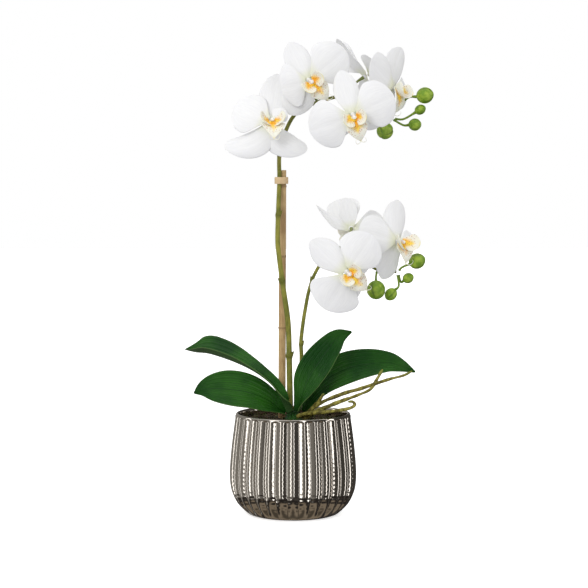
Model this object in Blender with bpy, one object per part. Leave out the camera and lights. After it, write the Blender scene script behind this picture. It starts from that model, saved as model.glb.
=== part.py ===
"""A moth orchid in a fluted, glazed pot: four leaves, two flower spikes, a bamboo stake and aerial roots.

Metres, +Z up. The origin is the middle of the pot's flat underside, and the plant faces -Y.
Every flower is built from the same six sheets (three sepals, two petals, a lip), bent and turned by a table.
"""

from math import cos, pi, radians, sin, tau

import bmesh
import bpy
import numpy as np
from mathutils import Matrix, Vector
from mathutils.geometry import interpolate_bezier

MM = 0.001
GAP = 0.4 * MM  # clearance between neighbouring pieces

# The pot
POT_HEIGHT = 105 * MM
POT_PROFILE = (  # height and outer radius of the lobes' crests, mm
    (0, 42), (1.5, 46.6), (6, 52), (14, 58.9), (26, 64), (43, 65.4), (68, 63.6), (90, 60.9), (99, 59.6),
)
LOBES = 32
GROOVE = 1.7 * MM
LIP_RADIUS = 58.6 * MM
WALL = 3.2 * MM
FLOOR = 5 * MM
POT_RINGS = (0, 1.5, 6, 14, 26, 43, 66, 88, 99)  # heights of the outside's rings, mm
FOOT_FADE = 16 * MM  # how far up from the foot the lobes reach their full depth
LIP_FADE = 4 * MM  # and how far down from the lip

# What stands in it
BARK_TOP = 96 * MM
BARK_SIDE = ((5.5, 43.2), (14.3, 53.2), (43, 59.8), (90, 55.3), (94, 53.5))  # height and radius, mm
BARK_LUMP = 1.5 * MM
CROWN_RADIUS = 9 * MM
CROWN_RISE = 12 * MM  # half the crown's height
STAKE_RADIUS = 3.8 * MM
STAKE_FOOT = Vector((-11.6, 12.5, 66)) * MM
STAKE_TOP = Vector((-10.6, 6.8, 354.5)) * MM
SPIKE_RADIUS = 3.2 * MM
SHORT_SPIKE_RADIUS = 2.3 * MM
PEDICEL_RADIUS = 1.3 * MM
ROOT_RADIUS = 2.0 * MM
LEAF_THICKNESS = 1.8 * MM
BASE_FOLD = 44  # how much steeper a leaf's fold is where it clasps the crown, degrees
CLASP = 0.22  # and how far up the leaf that reaches
TEPAL_THICKNESS = 1.0 * MM
LIP_THICKNESS = 1.1 * MM
HUB_RADIUS = 2.7 * MM
HUB_SETBACK = 2.2  # behind the flower's face, mm
COLUMN = ((0, -0.6, 2.2), (0, -0.8, 7), (0, -2.4, 11))  # in the flower's axes, mm
COLUMN_RADIUS = 2.1 * MM
LIP_BASE = (0, -2.6, 5)
LIP_BASE_SIZE = (3.6, 2.6, 2.4)
CLIP_MIDDLE = Vector((-11.9, 4.5, 344)) * MM
CLIP_TURN = 60  # from +X to the line from the spike to the stake, degrees
CLIP_OPENING = (7.4 * MM, 4.8 * MM)  # half its length and half its width
CLIP_HEIGHT = 7 * MM
CLIP_WALL = 1.1 * MM

# Routes, mm: the spikes run from the crown to their last flower's node
TALL_SPIKE = (
    (-3, -2.5, 111), (-3.4, -4.5, 135), (-4, -6, 166), (-5.2, -9, 200), (-10, -11.5, 235), (-14, -12, 265),
    (-15.7, -10, 284), (-15, -5, 315), (-14, 1, 344), (-14.2, 2, 366), (-12.5, 2, 381), (-8.5, 1, 392),
    (-2.5, 1, 405), (5, 0, 414.5), (13, 0, 419), (27, 0, 424.5), (41, 1, 428.5), (56, 2, 432.5),
    (72, 4, 434), (83.5, 9, 429.5), (92, 15, 418.5), (100.5, 16, 408),
)
SHORT_SPIKE = (
    (5, -4, 111), (8, -3, 135), (8.7, -2, 161), (8.2, -2, 178), (9.8, -2, 194), (12.3, -2, 210.5),
    (16.4, -2, 231.5), (22.6, -1, 249), (33, 2, 264), (46, 4, 271.5), (60, 5, 270), (73, 4, 261),
    (84, 4, 253.5), (95, 5, 250.5), (106.4, 4, 250),
)
# Each bud: middle, length, width, the point it hangs from, and a bend on the way there, mm
BUDS = {
    "bud_high_tip": ((135.3, 10, 431), 18, 16.6, (103, 14.2, 412), (117, 12, 428)),
    "bud_high_outer": ((130.6, 12, 416.5), 12, 10.2, (105, 16.5, 407), (114, 16, 407)),
    "bud_high_inner": ((124.6, 2, 401), 13.5, 12.6, (103.5, 11.5, 406), (113, 7, 400.5)),
    "bud_high_low": ((93.5, -9, 394.5), 19, 17, (99, 13, 404.5), (97, 6, 402.5)),
    "bud_low_big": ((84.8, -12, 232.5), 20, 19, (86, 2, 250), (85, -4, 245.5)),
    "bud_low_left": ((100.3, -2, 227.4), 14, 12.2, (107.4, 1.5, 247), (108.5, -0.5, 236)),
    "bud_low_right": ((118.4, 3, 243.8), 12, 10.6, (108.8, 6.2, 247), (111, 5.5, 239.5)),
    "bud_low_high": ((127.3, 0, 261.5), 17.5, 16, (109.2, 3, 251.6), (112, 1.5, 255)),
}
ROOTS = {
    "root_front": ((5, -13, 103), (15.3, -26, 107.5), (30.2, -38, 110.3), (45, -46, 113.2), (57, -49, 115.8),
                   (62.2, -47, 118.9), (60.1, -43, 121.6), (55.4, -41, 121.3)),
    "root_long": ((12, -8, 101), (19, -14, 110), (30.5, -20, 118.7), (45.5, -25, 125.6), (55.8, -28, 129.6),
                  (67, -31, 133), (81.9, -35, 138.5), (97.6, -39, 144.1), (111.5, -42, 148.2),
                  (120.1, -44, 152.9)),
    "root_middle": ((12, -15, 100), (22, -24, 108.5), (36, -30, 115.5), (50.9, -35, 122), (64.9, -38, 127.5),
                    (78, -41, 134), (84.8, -43, 144.8), (90.3, -45, 154.6)),
    "root_short": ((13, -3, 101), (19.5, -7, 110), (25.8, -13, 117.5), (31.6, -17, 126.9)),
}

# The sheets of a flower. Angles are degrees in its face, from its right towards its top; lengths are mm.
# lift is the slope out of the face at the base, curl what that gains by the tip, cup the turn to each edge.
OUTLINES = {  # width of the claw, place of the widest point, roundness of the end, fall to the end
    "petal": (0.20, 0.50, 2.3, 0.62),
    "sepal": (0.40, 0.50, 2.2, 0.66),
    "side": (0.45, 0.55, 2.0, 0.60),
    "mid": (0.45, 0.40, 1.25, 1.0),
}
SEPAL = {"outline": "sepal", "length": 39, "width": 23, "lift": -12, "curl": -10, "cup": -25, "base": 1.0,
         "height": -1.5}
PETAL = {"outline": "petal", "length": 42, "width": 46, "lift": 0, "curl": -14, "cup": -22, "base": 3.4,
         "height": 1.6}
SIDE = {"outline": "side", "length": 17, "width": 17, "lift": 45, "curl": 25, "cup": 35, "base": 2.5,
        "height": 4.6}
TEPALS = {
    "sepal_top": {**SEPAL, "angle": 90, "length": 41, "width": 24, "lift": -8, "curl": -8},
    "sepal_left": {**SEPAL, "angle": 222},
    "sepal_right": {**SEPAL, "angle": -42},
    "petal_left": {**PETAL, "angle": 172},
    "petal_right": {**PETAL, "angle": 8},
    "lip_left": {**SIDE, "angle": 205},
    "lip_right": {**SIDE, "angle": -25},
    "lip_mid": {"outline": "mid", "angle": -90, "length": 27, "width": 22, "lift": 30, "curl": -75, "cup": 20,
                "base": 2.0, "height": 4.6},
}
# Each flower: place, mm; facing azimuth (from -Y to +X), elevation and roll; where its stalk meets the spike,
# and what differs from TEPALS
FLOWERS = {
    "flower_a": {
        "at": (-22, -36, 402), "face": (8, 30, 0), "node": (-12.6, -2.4, 385),
        "sepal_top": {"angle": 80, "length": 57, "lift": -16, "curl": 56, "width": 32, "cup": -10},
        "petal_left": {"angle": 148, "lift": 2, "curl": -16, "length": 38, "width": 50},
        "petal_right": {"angle": 42, "lift": 10, "curl": -10, "length": 17, "width": 18},
        "sepal_left": {"angle": 248, "sweep": -46, "lift": -10, "curl": -22, "length": 52, "width": 34,
                       "cup": -45},
        "sepal_right": {"angle": -76, "sweep": 44, "lift": -10, "curl": -22, "length": 45, "width": 34,
                        "cup": -45},
        "lip_mid": {"lift": 50, "width": 25},
        "lip_left": {"lift": 42, "width": 20}, "lip_right": {"lift": 42, "width": 20},
    },
    "flower_b": {
        "at": (16, -38, 444.5), "face": (10, -5, 45), "node": (24, 0, 426),
        "sepal_top": {"angle": 72, "length": 42, "width": 27, "lift": -12},
        "petal_left": {"angle": 154, "lift": -8, "curl": -24, "width": 46, "length": 27},
        "petal_right": {"angle": -6, "length": 46, "width": 48, "lift": -4},
        "sepal_left": {"angle": 199, "lift": -12, "length": 40, "width": 34},
        "sepal_right": {"angle": -35, "lift": -45, "length": 34},
    },
    "flower_c": {
        "at": (59.6, -54, 409.5), "face": (3, -6, 17), "node": (54, 0, 429.5),
        "sepal_top": {"angle": 88, "length": 46, "width": 26, "lift": -14},
        "petal_left": {"angle": 184, "length": 43, "width": 50},
        "petal_right": {"angle": 8, "length": 42, "width": 50},
        "sepal_left": {"angle": 208, "lift": -21, "length": 34},
        "sepal_right": {"angle": -34, "lift": -20, "length": 34},
    },
    "flower_d": {
        "at": (76, 27, 452), "face": (110, 30, 0), "node": (58, 4, 436),
        "sepal_top": {"angle": 88, "lift": -6, "length": 48, "width": 32},
        "petal_right": {"angle": 38, "lift": 0, "length": 62, "width": 28, "twist": 70},
        "petal_left": {"angle": 168, "length": 33, "lift": 8, "width": 40},
        "sepal_left": {"angle": 250, "length": 30},
        "sepal_right": {"angle": -60, "length": 30},
    },
    "flower_e": {
        "at": (102, 6, 438.5), "face": (60, 0, -10), "node": (84, 8, 433.5),
        "sepal_top": {"angle": 74, "length": 46, "width": 30, "lift": -9, "curl": 24, "twist": -20, "cup": -15},
        "petal_left": {"angle": 158, "lift": -2, "curl": -12, "length": 45, "width": 44},
        "petal_right": {"angle": -4, "lift": 0, "width": 34, "length": 34},
        "sepal_left": {"angle": 245, "lift": -13, "length": 33, "width": 21},
        "sepal_right": {"angle": -35, "lift": -13},
    },
    "flower_f": {
        "at": (54, -48, 253), "face": (8, -5, 48), "node": (47, 2, 269.5),
        "sepal_top": {"angle": 91, "length": 47, "width": 30, "lift": -8},
        "petal_left": {"angle": 195, "length": 41, "width": 54},
        "petal_right": {"angle": 8, "length": 42, "width": 48},
        "sepal_left": {"angle": 238, "width": 26, "length": 32},
        "sepal_right": {"angle": -26, "lift": -25, "length": 32},
    },
    "flower_g": {
        "at": (60, 26, 294), "face": (185, 0, 0), "node": (48, 4, 274.5),
        "sepal_top": {"angle": 80, "length": 32, "width": 20, "lift": 8, "curl": 10},
        "petal_right": {"angle": 74, "lift": 42, "length": 40, "curl": 10, "width": 36},
        "petal_left": {"angle": 182, "length": 34, "width": 40, "lift": 6},
        "sepal_right": {"angle": 10, "sweep": 24, "twist": 80, "length": 44, "width": 14, "lift": -2},
        "sepal_left": {"angle": 230, "length": 34},
    },
    "flower_h": {
        "at": (106.5, -6, 281.5), "face": (38, 10, 0), "node": (85, 4, 256),
        "sepal_top": {"angle": 82, "length": 43, "width": 27, "lift": -6, "curl": 20, "twist": -20, "cup": -30},
        "petal_left": {"angle": 164, "lift": 0, "curl": -12, "length": 46, "width": 44},
        "petal_right": {"angle": 4, "lift": -4, "length": 22, "width": 22},
        "sepal_left": {"angle": 248, "lift": -12, "length": 40, "width": 28},
        "sepal_right": {"angle": -62, "lift": -36, "length": 36},
        "lip_mid": {"lift": 45, "length": 24},
        "lip_left": {"length": 20, "width": 20}, "lip_right": {"length": 20, "width": 20},
    },
}
# Each leaf: points of its midrib, mm; its half widths there, mm; how far its sides fold up, degrees; and its
# tilt about the midrib, degrees
LEAVES = {
    "leaf_upper_left": (((-5.4, -13, 105.8), (-10.2, -16, 118.7), (-18.6, -13, 133.5),
                         (-32.6, -6, 144.8), (-49.5, 1, 153.6), (-67.1, 6, 160.4), (-86.5, 10, 165.9),
                         (-100.6, 12, 166.9), (-111.7, 13, 169.2)),
        (6.5, 8, 9, 11, 15, 20, 23, 21.5, 1), 30, -10),
    "leaf_lower_left": (((-8.8, -7, 105.1), (-16.9, -9, 111.8), (-27.1, -12, 119.3), (-44.5, -17, 127.2),
                         (-61.9, -22, 130.8), (-79.2, -27, 132.5), (-91.4, -30, 132.1),
                         (-100.4, -32, 129)),
        (6, 12, 17, 20, 21, 19, 13, 1), 14, -60),
    "leaf_upright": (((6.3, -9, 107.5), (9.8, -11, 124.7), (15.6, -12, 141), (25.3, -13, 157.3),
                      (36.1, -13, 172.6), (46.7, -12, 184.4), (59.9, -10, 189.6)),
        (6, 9.5, 15, 16.5, 14.5, 10, 1), 16, 76),
    "leaf_right": (((11, 4, 105.4), (17.7, 8, 119.5), (30.3, 10, 134.4), (51, 10, 147),
                    (73.1, 10, 153.3), (96.1, 8, 155.6), (110.4, 5, 152.9), (125.9, 2, 146.9)),
        (6, 11, 15.5, 18, 17.3, 14.5, 9, 1), 14, 60),
}


def clear_scene():
    for obj in list(bpy.data.objects):
        bpy.data.objects.remove(obj, do_unlink=True)


def material(name, colour, roughness, metallic=0.0):
    made = bpy.data.materials.new(name)
    made.use_nodes = True
    shader = made.node_tree.nodes["Principled BSDF"]
    shader.inputs["Base Color"].default_value = (*colour, 1)
    shader.inputs["Roughness"].default_value = roughness
    shader.inputs["Metallic"].default_value = metallic
    return made


def object_from(name, mesh, finish):
    """An object in the scene, smooth where it is round."""
    mesh.materials.clear()
    mesh.materials.append(finish)
    mesh.shade_smooth()
    mesh.set_sharp_from_angle(angle=radians(50))
    obj = bpy.data.objects.new(name, mesh)
    bpy.context.scene.collection.objects.link(obj)
    return obj


def mesh_from(name, bm):
    bmesh.ops.recalc_face_normals(bm, faces=bm.faces)
    mesh = bpy.data.meshes.new(name)
    bm.to_mesh(mesh)
    bm.free()
    return mesh


def evaluated_mesh(obj):
    graph = bpy.context.evaluated_depsgraph_get()
    return bpy.data.meshes.new_from_object(obj.evaluated_get(graph))


def fused(name, pieces, finish):
    """One closed body from overlapping helper objects, which are removed."""
    first = pieces[0]
    for piece in pieces[1:]:
        union = first.modifiers.new("union", "BOOLEAN")
        union.operation = "UNION"
        union.object = piece
    mesh = evaluated_mesh(first)
    for piece in pieces:
        bpy.data.objects.remove(piece, do_unlink=True)
    mesh.name = name
    return object_from(name, mesh, finish)


def cut(target, cutter):
    """The target with the cutter's shape taken out of it. The cutter is removed."""
    bore = target.modifiers.new("bore", "BOOLEAN")
    bore.operation = "DIFFERENCE"
    bore.object = cutter
    mesh = evaluated_mesh(target)
    target.modifiers.clear()
    target.data = mesh
    bpy.data.objects.remove(cutter, do_unlink=True)


def smooth_route(points, steps):
    """A smooth curve through the points, with steps stretches between each two."""
    points = [Vector(p) for p in points]
    ends = [2 * points[0] - points[1], *points, 2 * points[-1] - points[-2]]
    route = []
    for before, start, end, after in zip(ends, ends[1:], ends[2:], ends[3:]):
        handles = start + (end - before) / 6, end - (after - start) / 6
        route += interpolate_bezier(start, *handles, end, steps + 1)[:-1]
    return [*route, points[-1]]


def tube(name, points, radius, finish, sides=8, taper=1.0):
    """A closed round tube along the points; taper is its end radius over its start radius."""
    curve = bpy.data.curves.new(name, "CURVE")
    curve.dimensions = "3D"
    curve.bevel_depth = radius
    curve.bevel_resolution = (sides - 4) // 2
    curve.use_fill_caps = True
    spline = curve.splines.new("POLY")
    spline.points.add(len(points) - 1)
    for i, (point, place) in enumerate(zip(spline.points, points)):
        point.co = (*place, 1)
        point.radius = 1 + (taper - 1) * i / (len(points) - 1)
    guide = bpy.data.objects.new(name, curve)
    bpy.context.scene.collection.objects.link(guide)
    mesh = evaluated_mesh(guide)
    bpy.data.objects.remove(guide, do_unlink=True)
    bm = bmesh.new()
    bm.from_mesh(mesh)
    bmesh.ops.remove_doubles(bm, verts=bm.verts, dist=MM / 100)
    return object_from(name, mesh_from(name, bm), finish)


def ball(name, matrix, finish, segments=12, rings=8):
    """A unit ball under a matrix."""
    bm = bmesh.new()
    bmesh.ops.create_uvsphere(bm, u_segments=segments, v_segments=rings, radius=1, matrix=matrix)
    return object_from(name, mesh_from(name, bm), finish)


def pot_radius(height, angle):
    """Outer radius of the pot, with the lobes fading out under the lip and towards the foot."""
    heights, radii = zip(*POT_PROFILE)
    crest = np.interp(height / MM, heights, radii) * MM
    fade = min(1, height / FOOT_FADE) * min(1, (POT_HEIGHT - height) / LIP_FADE - 1)
    return crest - max(0, fade) * GROOVE * (1 - abs(cos(LOBES * angle / 2)))


def make_pot(finish):
    around = 2 * LOBES
    angles = [tau * i / around - pi / 2 for i in range(around)]
    outer_heights = [h * MM for h in POT_RINGS]
    bm = bmesh.new()

    def ring(radius_of, height):
        return [bm.verts.new((radius_of(a) * cos(a), radius_of(a) * sin(a), height)) for a in angles]

    rings = [ring(lambda a, h=h: pot_radius(h, a + pi / 2), h) for h in outer_heights]
    rings += [ring(lambda a: LIP_RADIUS, POT_HEIGHT - 3.5 * MM)]
    rings += [ring(lambda a: LIP_RADIUS - 0.5 * MM, POT_HEIGHT), ring(lambda a: LIP_RADIUS - WALL, POT_HEIGHT)]
    for height in (90 * MM, 43 * MM, 14 * MM):
        rings.append(ring(lambda a, h=height: pot_radius(h, 0) - GROOVE - WALL, height))
    rings.append(ring(lambda a: 44 * MM, FLOOR))
    join_rings(bm, rings)
    bm.faces.new(rings[0])
    bm.faces.new(rings[-1])
    return object_from("pot", mesh_from("pot", bm), finish)


def join_rings(bm, rings):
    """A wall of quads through closed rings of points."""
    for low, high in zip(rings, rings[1:]):
        for i in range(len(low)):
            bm.faces.new((low[i - 1], low[i], high[i], high[i - 1]))


def make_bark(finish):
    """The bed of bark: a plug that fits the pot, lumpy on top, bored for the crown and the stake."""
    around = 32
    top = BARK_TOP / MM
    bm = bmesh.new()
    rings = []
    for height, radius in (*BARK_SIDE, (top, 45), (top, 28), (top, 12)):
        ring = []
        height, radius = height * MM, radius * MM
        lumpy = BARK_LUMP if height == BARK_TOP and radius > CROWN_RADIUS + 5 * MM else 0
        for i in range(around):
            angle = tau * i / around
            lump = lumpy * sin(5 * angle + 90 * radius / MM) * cos(3 * angle)
            ring.append(bm.verts.new((radius * cos(angle), radius * sin(angle), height + lump)))
        rings.append(ring)
    join_rings(bm, rings)
    bm.faces.new(rings[0])
    bm.faces.new(rings[-1])
    bark = object_from("potting_bark", mesh_from("potting_bark", bm), finish)
    socket = Matrix.Translation((0, 0, BARK_TOP)) @ Matrix.Diagonal((*[CROWN_RADIUS + GAP] * 2, CROWN_RISE, 1))
    cut(bark, ball("socket", socket, finish))
    way = STAKE_TOP - STAKE_FOOT
    cut(bark, tube("stake_hole", (STAKE_FOOT - 0.01 * way, STAKE_TOP), STAKE_RADIUS + GAP, finish, sides=12))


def make_crown(finish):
    """The short thick stem that the leaves, roots and spikes grow from."""
    shape = Matrix.Translation((0, 0, BARK_TOP)) @ Matrix.Diagonal((CROWN_RADIUS, CROWN_RADIUS, CROWN_RISE, 1))
    crown = ball("crown_ball", shape, finish)
    way = (STAKE_TOP - STAKE_FOOT).normalized()
    cut(crown, tube("pass", (STAKE_FOOT, STAKE_FOOT + 60 * MM * way), STAKE_RADIUS + GAP, finish, sides=12))
    crown.name = "crown"


def leaf_sheet(spine, widths, fold, tilt):
    """Rows of points across a leaf: an arched midrib with the two halves folded up from it."""
    midrib = smooth_route([Vector(p) * MM for p in spine], 3)
    places = np.linspace(0, len(widths) - 1, len(midrib))
    halves = (np.interp(places, range(len(widths)), widths) * MM).tolist()
    rows = []
    for i, (middle, half) in enumerate(zip(midrib, halves)):
        here = radians(fold + BASE_FOLD * max(0, 1 - i / len(midrib) / CLASP) ** 1.5)
        along = (midrib[min(i + 1, len(midrib) - 1)] - midrib[max(i - 1, 0)]).normalized()
        level = along.cross(Vector((0, 0, 1))).normalized()
        side = Matrix.Rotation(radians(tilt), 3, along) @ level
        rise = side.cross(along)
        row = []
        for step in (-1, -0.5, 0, 0.5, 1):
            up = abs(step) ** 1.4 * sin(here)
            row.append(middle + half * (step * cos(here) * side + up * rise))
        rows.append(row)
    return rows


def sheet_mesh(name, rows):
    """A sheet from rows of points. The last row is drawn together into one tip."""
    bm = bmesh.new()
    grid = [[bm.verts.new(point) for point in row] for row in rows[:-1]]
    tip = bm.verts.new(sum((Vector(p) for p in rows[-1]), Vector()) / len(rows[-1]))
    for low, high in zip(grid, grid[1:]):
        for i in range(len(low) - 1):
            bm.faces.new((low[i], low[i + 1], high[i + 1], high[i]))
    for i in range(len(grid[-1]) - 1):
        bm.faces.new((grid[-1][i], grid[-1][i + 1], tip))
    mesh = bpy.data.meshes.new(name)
    bm.to_mesh(mesh)
    bm.free()
    return mesh


def thick_sheet(name, rows, thickness, finish):
    obj = object_from(name, sheet_mesh(name, rows), finish)
    wall = obj.modifiers.new("thickness", "SOLIDIFY")
    wall.thickness = thickness
    wall.offset = 0
    return obj


def half_width(outline, u):
    """Half the width of a tepal as a share of its full width, from its claw (u=0) to its tip (u=1)."""
    claw, widest, power, fall = OUTLINES[outline]
    rise = np.clip(u / widest, 0, 1)
    rise = claw + (1 - claw) * (rise * rise * (3 - 2 * rise)) ** 0.75
    past = np.clip((u - widest) / (1 - widest), 0, 1)
    return 0.5 * rise * (1 - past**power) ** fall


def tepal_rows(tepal, rows, columns):
    """Rows of points of a tepal in its flower's axes (right, up, facing), mm."""
    u = 1 - (1 - np.linspace(0, 1, rows + 1)) ** 1.35
    fine = np.linspace(0, 1, 101)
    slope = np.radians(tepal["lift"] + tepal["curl"] * fine**1.3)
    run = tepal["length"] * np.cumsum(np.cos(slope)) / 101
    climb = tepal["length"] * np.cumsum(np.sin(slope)) / 101
    turned = np.radians(tepal["angle"] + tepal.get("sweep", 0) * u)
    outwards = np.stack((np.cos(turned), np.sin(turned), 0 * u), 1)
    sideways = np.stack((-np.sin(turned), np.cos(turned), 0 * u), 1)
    facing = np.array((0, 0, 1.0))
    here = np.interp(u, fine, slope)[:, None]
    normal = np.cos(here) * facing - np.sin(here) * outwards
    twist = np.radians(tepal.get("twist", 0)) * u[:, None]
    across = np.cos(twist) * sideways + np.sin(twist) * normal
    front = np.cos(twist) * normal - np.sin(twist) * sideways
    half = np.maximum(tepal["width"] * half_width(tepal["outline"], u), 0.05)[:, None]
    bend = radians(tepal["cup"]) * half / (tepal["width"] / 2)
    angle = np.linspace(-1, 1, columns + 1)[None, :] * bend
    middle = (tepal["base"] + np.interp(u, fine, run))[:, None] * outwards
    middle += (tepal["height"] + np.interp(u, fine, climb))[:, None] * facing
    side = (half / bend * np.sin(angle))[..., None] * across[:, None]
    lifted = (half / bend * (1 - np.cos(angle)))[..., None] * front[:, None]
    return middle[:, None] + side + lifted


def flower_frame(flower):
    """Takes mm in a flower's axes (right, up, facing) to the world."""
    azimuth, elevation, roll = (radians(a) for a in flower["face"])
    facing = Vector((sin(azimuth) * cos(elevation), -cos(azimuth) * cos(elevation), sin(elevation)))
    level = Vector((cos(azimuth), sin(azimuth), 0))
    upright = facing.cross(level)
    right = cos(roll) * level + sin(roll) * upright
    up = cos(roll) * upright - sin(roll) * level
    turn = Matrix((right, up, facing)).transposed().to_4x4()
    return Matrix.Translation(Vector(flower["at"]) * MM) @ turn @ Matrix.Scale(MM, 4)


def make_tepal(name, part, flower, frame, thickness, finish, rows, columns):
    tepal = {**TEPALS[part], **flower.get(part, {})}
    points = [[frame @ Vector(p) for p in row] for row in tepal_rows(tepal, rows, columns)]
    return thick_sheet(name, points, thickness, finish)


def stalk(name, start, towards, end, radius, finish):
    """A flower or bud stalk that leaves start in a direction and bends to its end."""
    bend = start + 0.55 * (end - start).length * towards
    points = interpolate_bezier(start, start.lerp(bend, 0.9), end.lerp(bend, 0.35), end, 5)
    return tube(name, points, radius, finish, sides=6)


def make_flower(name, flower, finishes):
    frame = flower_frame(flower)
    facing = (frame.to_3x3() @ Vector((0, 0, 1))).normalized()
    hub_place = frame @ Vector((0, 0, -HUB_SETBACK))
    hub = ball("hub", Matrix.Translation(hub_place) @ Matrix.Scale(HUB_RADIUS, 4), finishes["sepals"], 8, 6)
    pieces = [hub]
    for part in ("sepal_top", "sepal_left", "sepal_right"):
        pieces.append(make_tepal(part, part, flower, frame, TEPAL_THICKNESS, finishes["sepals"], 5, 3))
    node = Vector(flower["node"]) * MM
    pieces.append(stalk("pedicel", hub_place, -facing, node, PEDICEL_RADIUS, finishes["sepals"]))
    fused(f"{name}_sepals", pieces, finishes["sepals"])
    for part in ("petal_left", "petal_right"):
        make_tepal(f"{name}_{part}", part, flower, frame, TEPAL_THICKNESS, finishes["petals"], 6, 4)
    route = [frame @ Vector(p) for p in COLUMN]
    column = tube("column", route, COLUMN_RADIUS, finishes["lip"], sides=6, taper=1.15)
    shape = Matrix.Translation(LIP_BASE) @ Matrix.Diagonal((*LIP_BASE_SIZE, 1))
    base = ball("base", frame @ shape, finishes["lip"], 8, 5)
    pieces = [base, column]
    for part in ("lip_mid", "lip_left", "lip_right"):
        pieces.append(make_tepal(part, part, flower, frame, LIP_THICKNESS, finishes["lip"], 4, 3))
    fused(f"{name}_lip", pieces, finishes["lip"])


def make_bud(name, bud, finish):
    """A bud on its stalk: an egg that points away from where the stalk comes in."""
    middle, length, width, foot, bend = bud
    middle, foot, bend = (Vector(p) * MM for p in (middle, foot, bend))
    along = (middle - bend).normalized()
    turn = along.to_track_quat("Z", "Y").to_matrix().to_4x4()
    shape = Matrix.Diagonal((width / 2 * MM, width / 2 * MM, length / 2 * MM, 1))
    egg = ball("egg", Matrix.Translation(middle) @ turn @ shape, finish, 10, 6)
    neck = middle - 0.4 * length * MM * along
    route = smooth_route((foot, bend, neck), 2)
    fused(name, [egg, tube("neck", route, PEDICEL_RADIUS, finish, sides=6)], finish)


def make_clip(finish):
    """The tie round the stake and the tall spike: a flat loop, open inside."""
    turn = Matrix.Rotation(radians(CLIP_TURN), 3, "Z")
    long, short = CLIP_OPENING
    bm = bmesh.new()
    loops = []
    for grown in (0, CLIP_WALL):
        for level in (-CLIP_HEIGHT / 2, CLIP_HEIGHT / 2):
            loop = []
            for i in range(24):
                angle = tau * i / 24
                offset = Vector(((long + grown) * cos(angle), (short + grown) * sin(angle), level))
                loop.append(bm.verts.new(CLIP_MIDDLE + turn @ offset))
            loops.append(loop)
    inner_low, inner_high, outer_low, outer_high = loops
    join_rings(bm, (inner_low, inner_high, outer_high, outer_low, inner_low))
    object_from("stake_clip", mesh_from("stake_clip", bm), finish)


def make_plant():
    finishes = {
        "sepals": material("sepal_white", (0.82, 0.82, 0.84), 0.55),
        "petals": material("petal_white", (0.86, 0.86, 0.88), 0.55),
        "lip": material("lip_yellow", (0.78, 0.55, 0.16), 0.5),
    }
    leaf_green = material("leaf_green", (0.05, 0.11, 0.02), 0.3)
    stem_green = material("stem_green", (0.14, 0.18, 0.03), 0.45)
    bud_green = material("bud_green", (0.19, 0.26, 0.05), 0.45)
    root_brown = material("root_brown", (0.16, 0.13, 0.05), 0.7)
    make_crown(leaf_green)
    for name, (spine, widths, fold, tilt) in LEAVES.items():
        thick_sheet(name, leaf_sheet(spine, widths, fold, tilt), LEAF_THICKNESS, leaf_green)
    tall = smooth_route([Vector(p) * MM for p in TALL_SPIKE], 2)
    tube("spike_tall", tall, SPIKE_RADIUS, stem_green, sides=6, taper=0.45)
    short = smooth_route([Vector(p) * MM for p in SHORT_SPIKE], 2)
    tube("spike_short", short, SHORT_SPIKE_RADIUS, stem_green, sides=6, taper=0.58)
    for name, flower in FLOWERS.items():
        make_flower(name, flower, finishes)
    for name, bud in BUDS.items():
        make_bud(name, bud, bud_green)
    for name, points in ROOTS.items():
        route = smooth_route([Vector(p) * MM for p in points], 2)
        tube(name, route, ROOT_RADIUS, root_brown, sides=6, taper=0.7)


def main():
    clear_scene()
    make_pot(material("silver_glaze", (0.36, 0.34, 0.32), 0.12, 1.0))
    make_bark(material("bark_brown", (0.07, 0.045, 0.025), 0.9))
    make_plant()
    bamboo = material("bamboo", (0.45, 0.30, 0.17), 0.5)
    tube("stake", (STAKE_FOOT, STAKE_TOP), STAKE_RADIUS, bamboo, sides=12)
    make_clip(material("clip_beige", (0.55, 0.42, 0.28), 0.5))


main()
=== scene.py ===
"""Looks of a potted moth orchid: fine petals, leaves, stems and roots around the plain solids of its frame.

Metres, +Z up. The tables of flowers, leaves and routes are the frame's own, in mm, drawn here at full detail.
"""

from math import cos, pi, radians, sin, tau

import bmesh
import bpy
import numpy as np
from mathutils import Matrix, Vector
from mathutils.geometry import interpolate_bezier


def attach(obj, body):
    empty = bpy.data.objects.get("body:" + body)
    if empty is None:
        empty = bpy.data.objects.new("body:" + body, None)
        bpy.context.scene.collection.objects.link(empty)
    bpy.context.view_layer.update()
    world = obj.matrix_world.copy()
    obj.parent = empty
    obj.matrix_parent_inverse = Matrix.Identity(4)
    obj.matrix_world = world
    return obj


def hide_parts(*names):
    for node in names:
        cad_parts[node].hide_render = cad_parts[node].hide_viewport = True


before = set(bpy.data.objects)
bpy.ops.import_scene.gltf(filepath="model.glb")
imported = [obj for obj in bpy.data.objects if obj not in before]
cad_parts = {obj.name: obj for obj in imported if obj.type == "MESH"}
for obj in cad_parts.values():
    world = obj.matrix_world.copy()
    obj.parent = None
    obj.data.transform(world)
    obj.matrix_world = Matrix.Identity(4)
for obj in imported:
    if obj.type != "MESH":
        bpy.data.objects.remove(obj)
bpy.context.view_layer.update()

MM = 0.001
BODY = "root"

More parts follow.
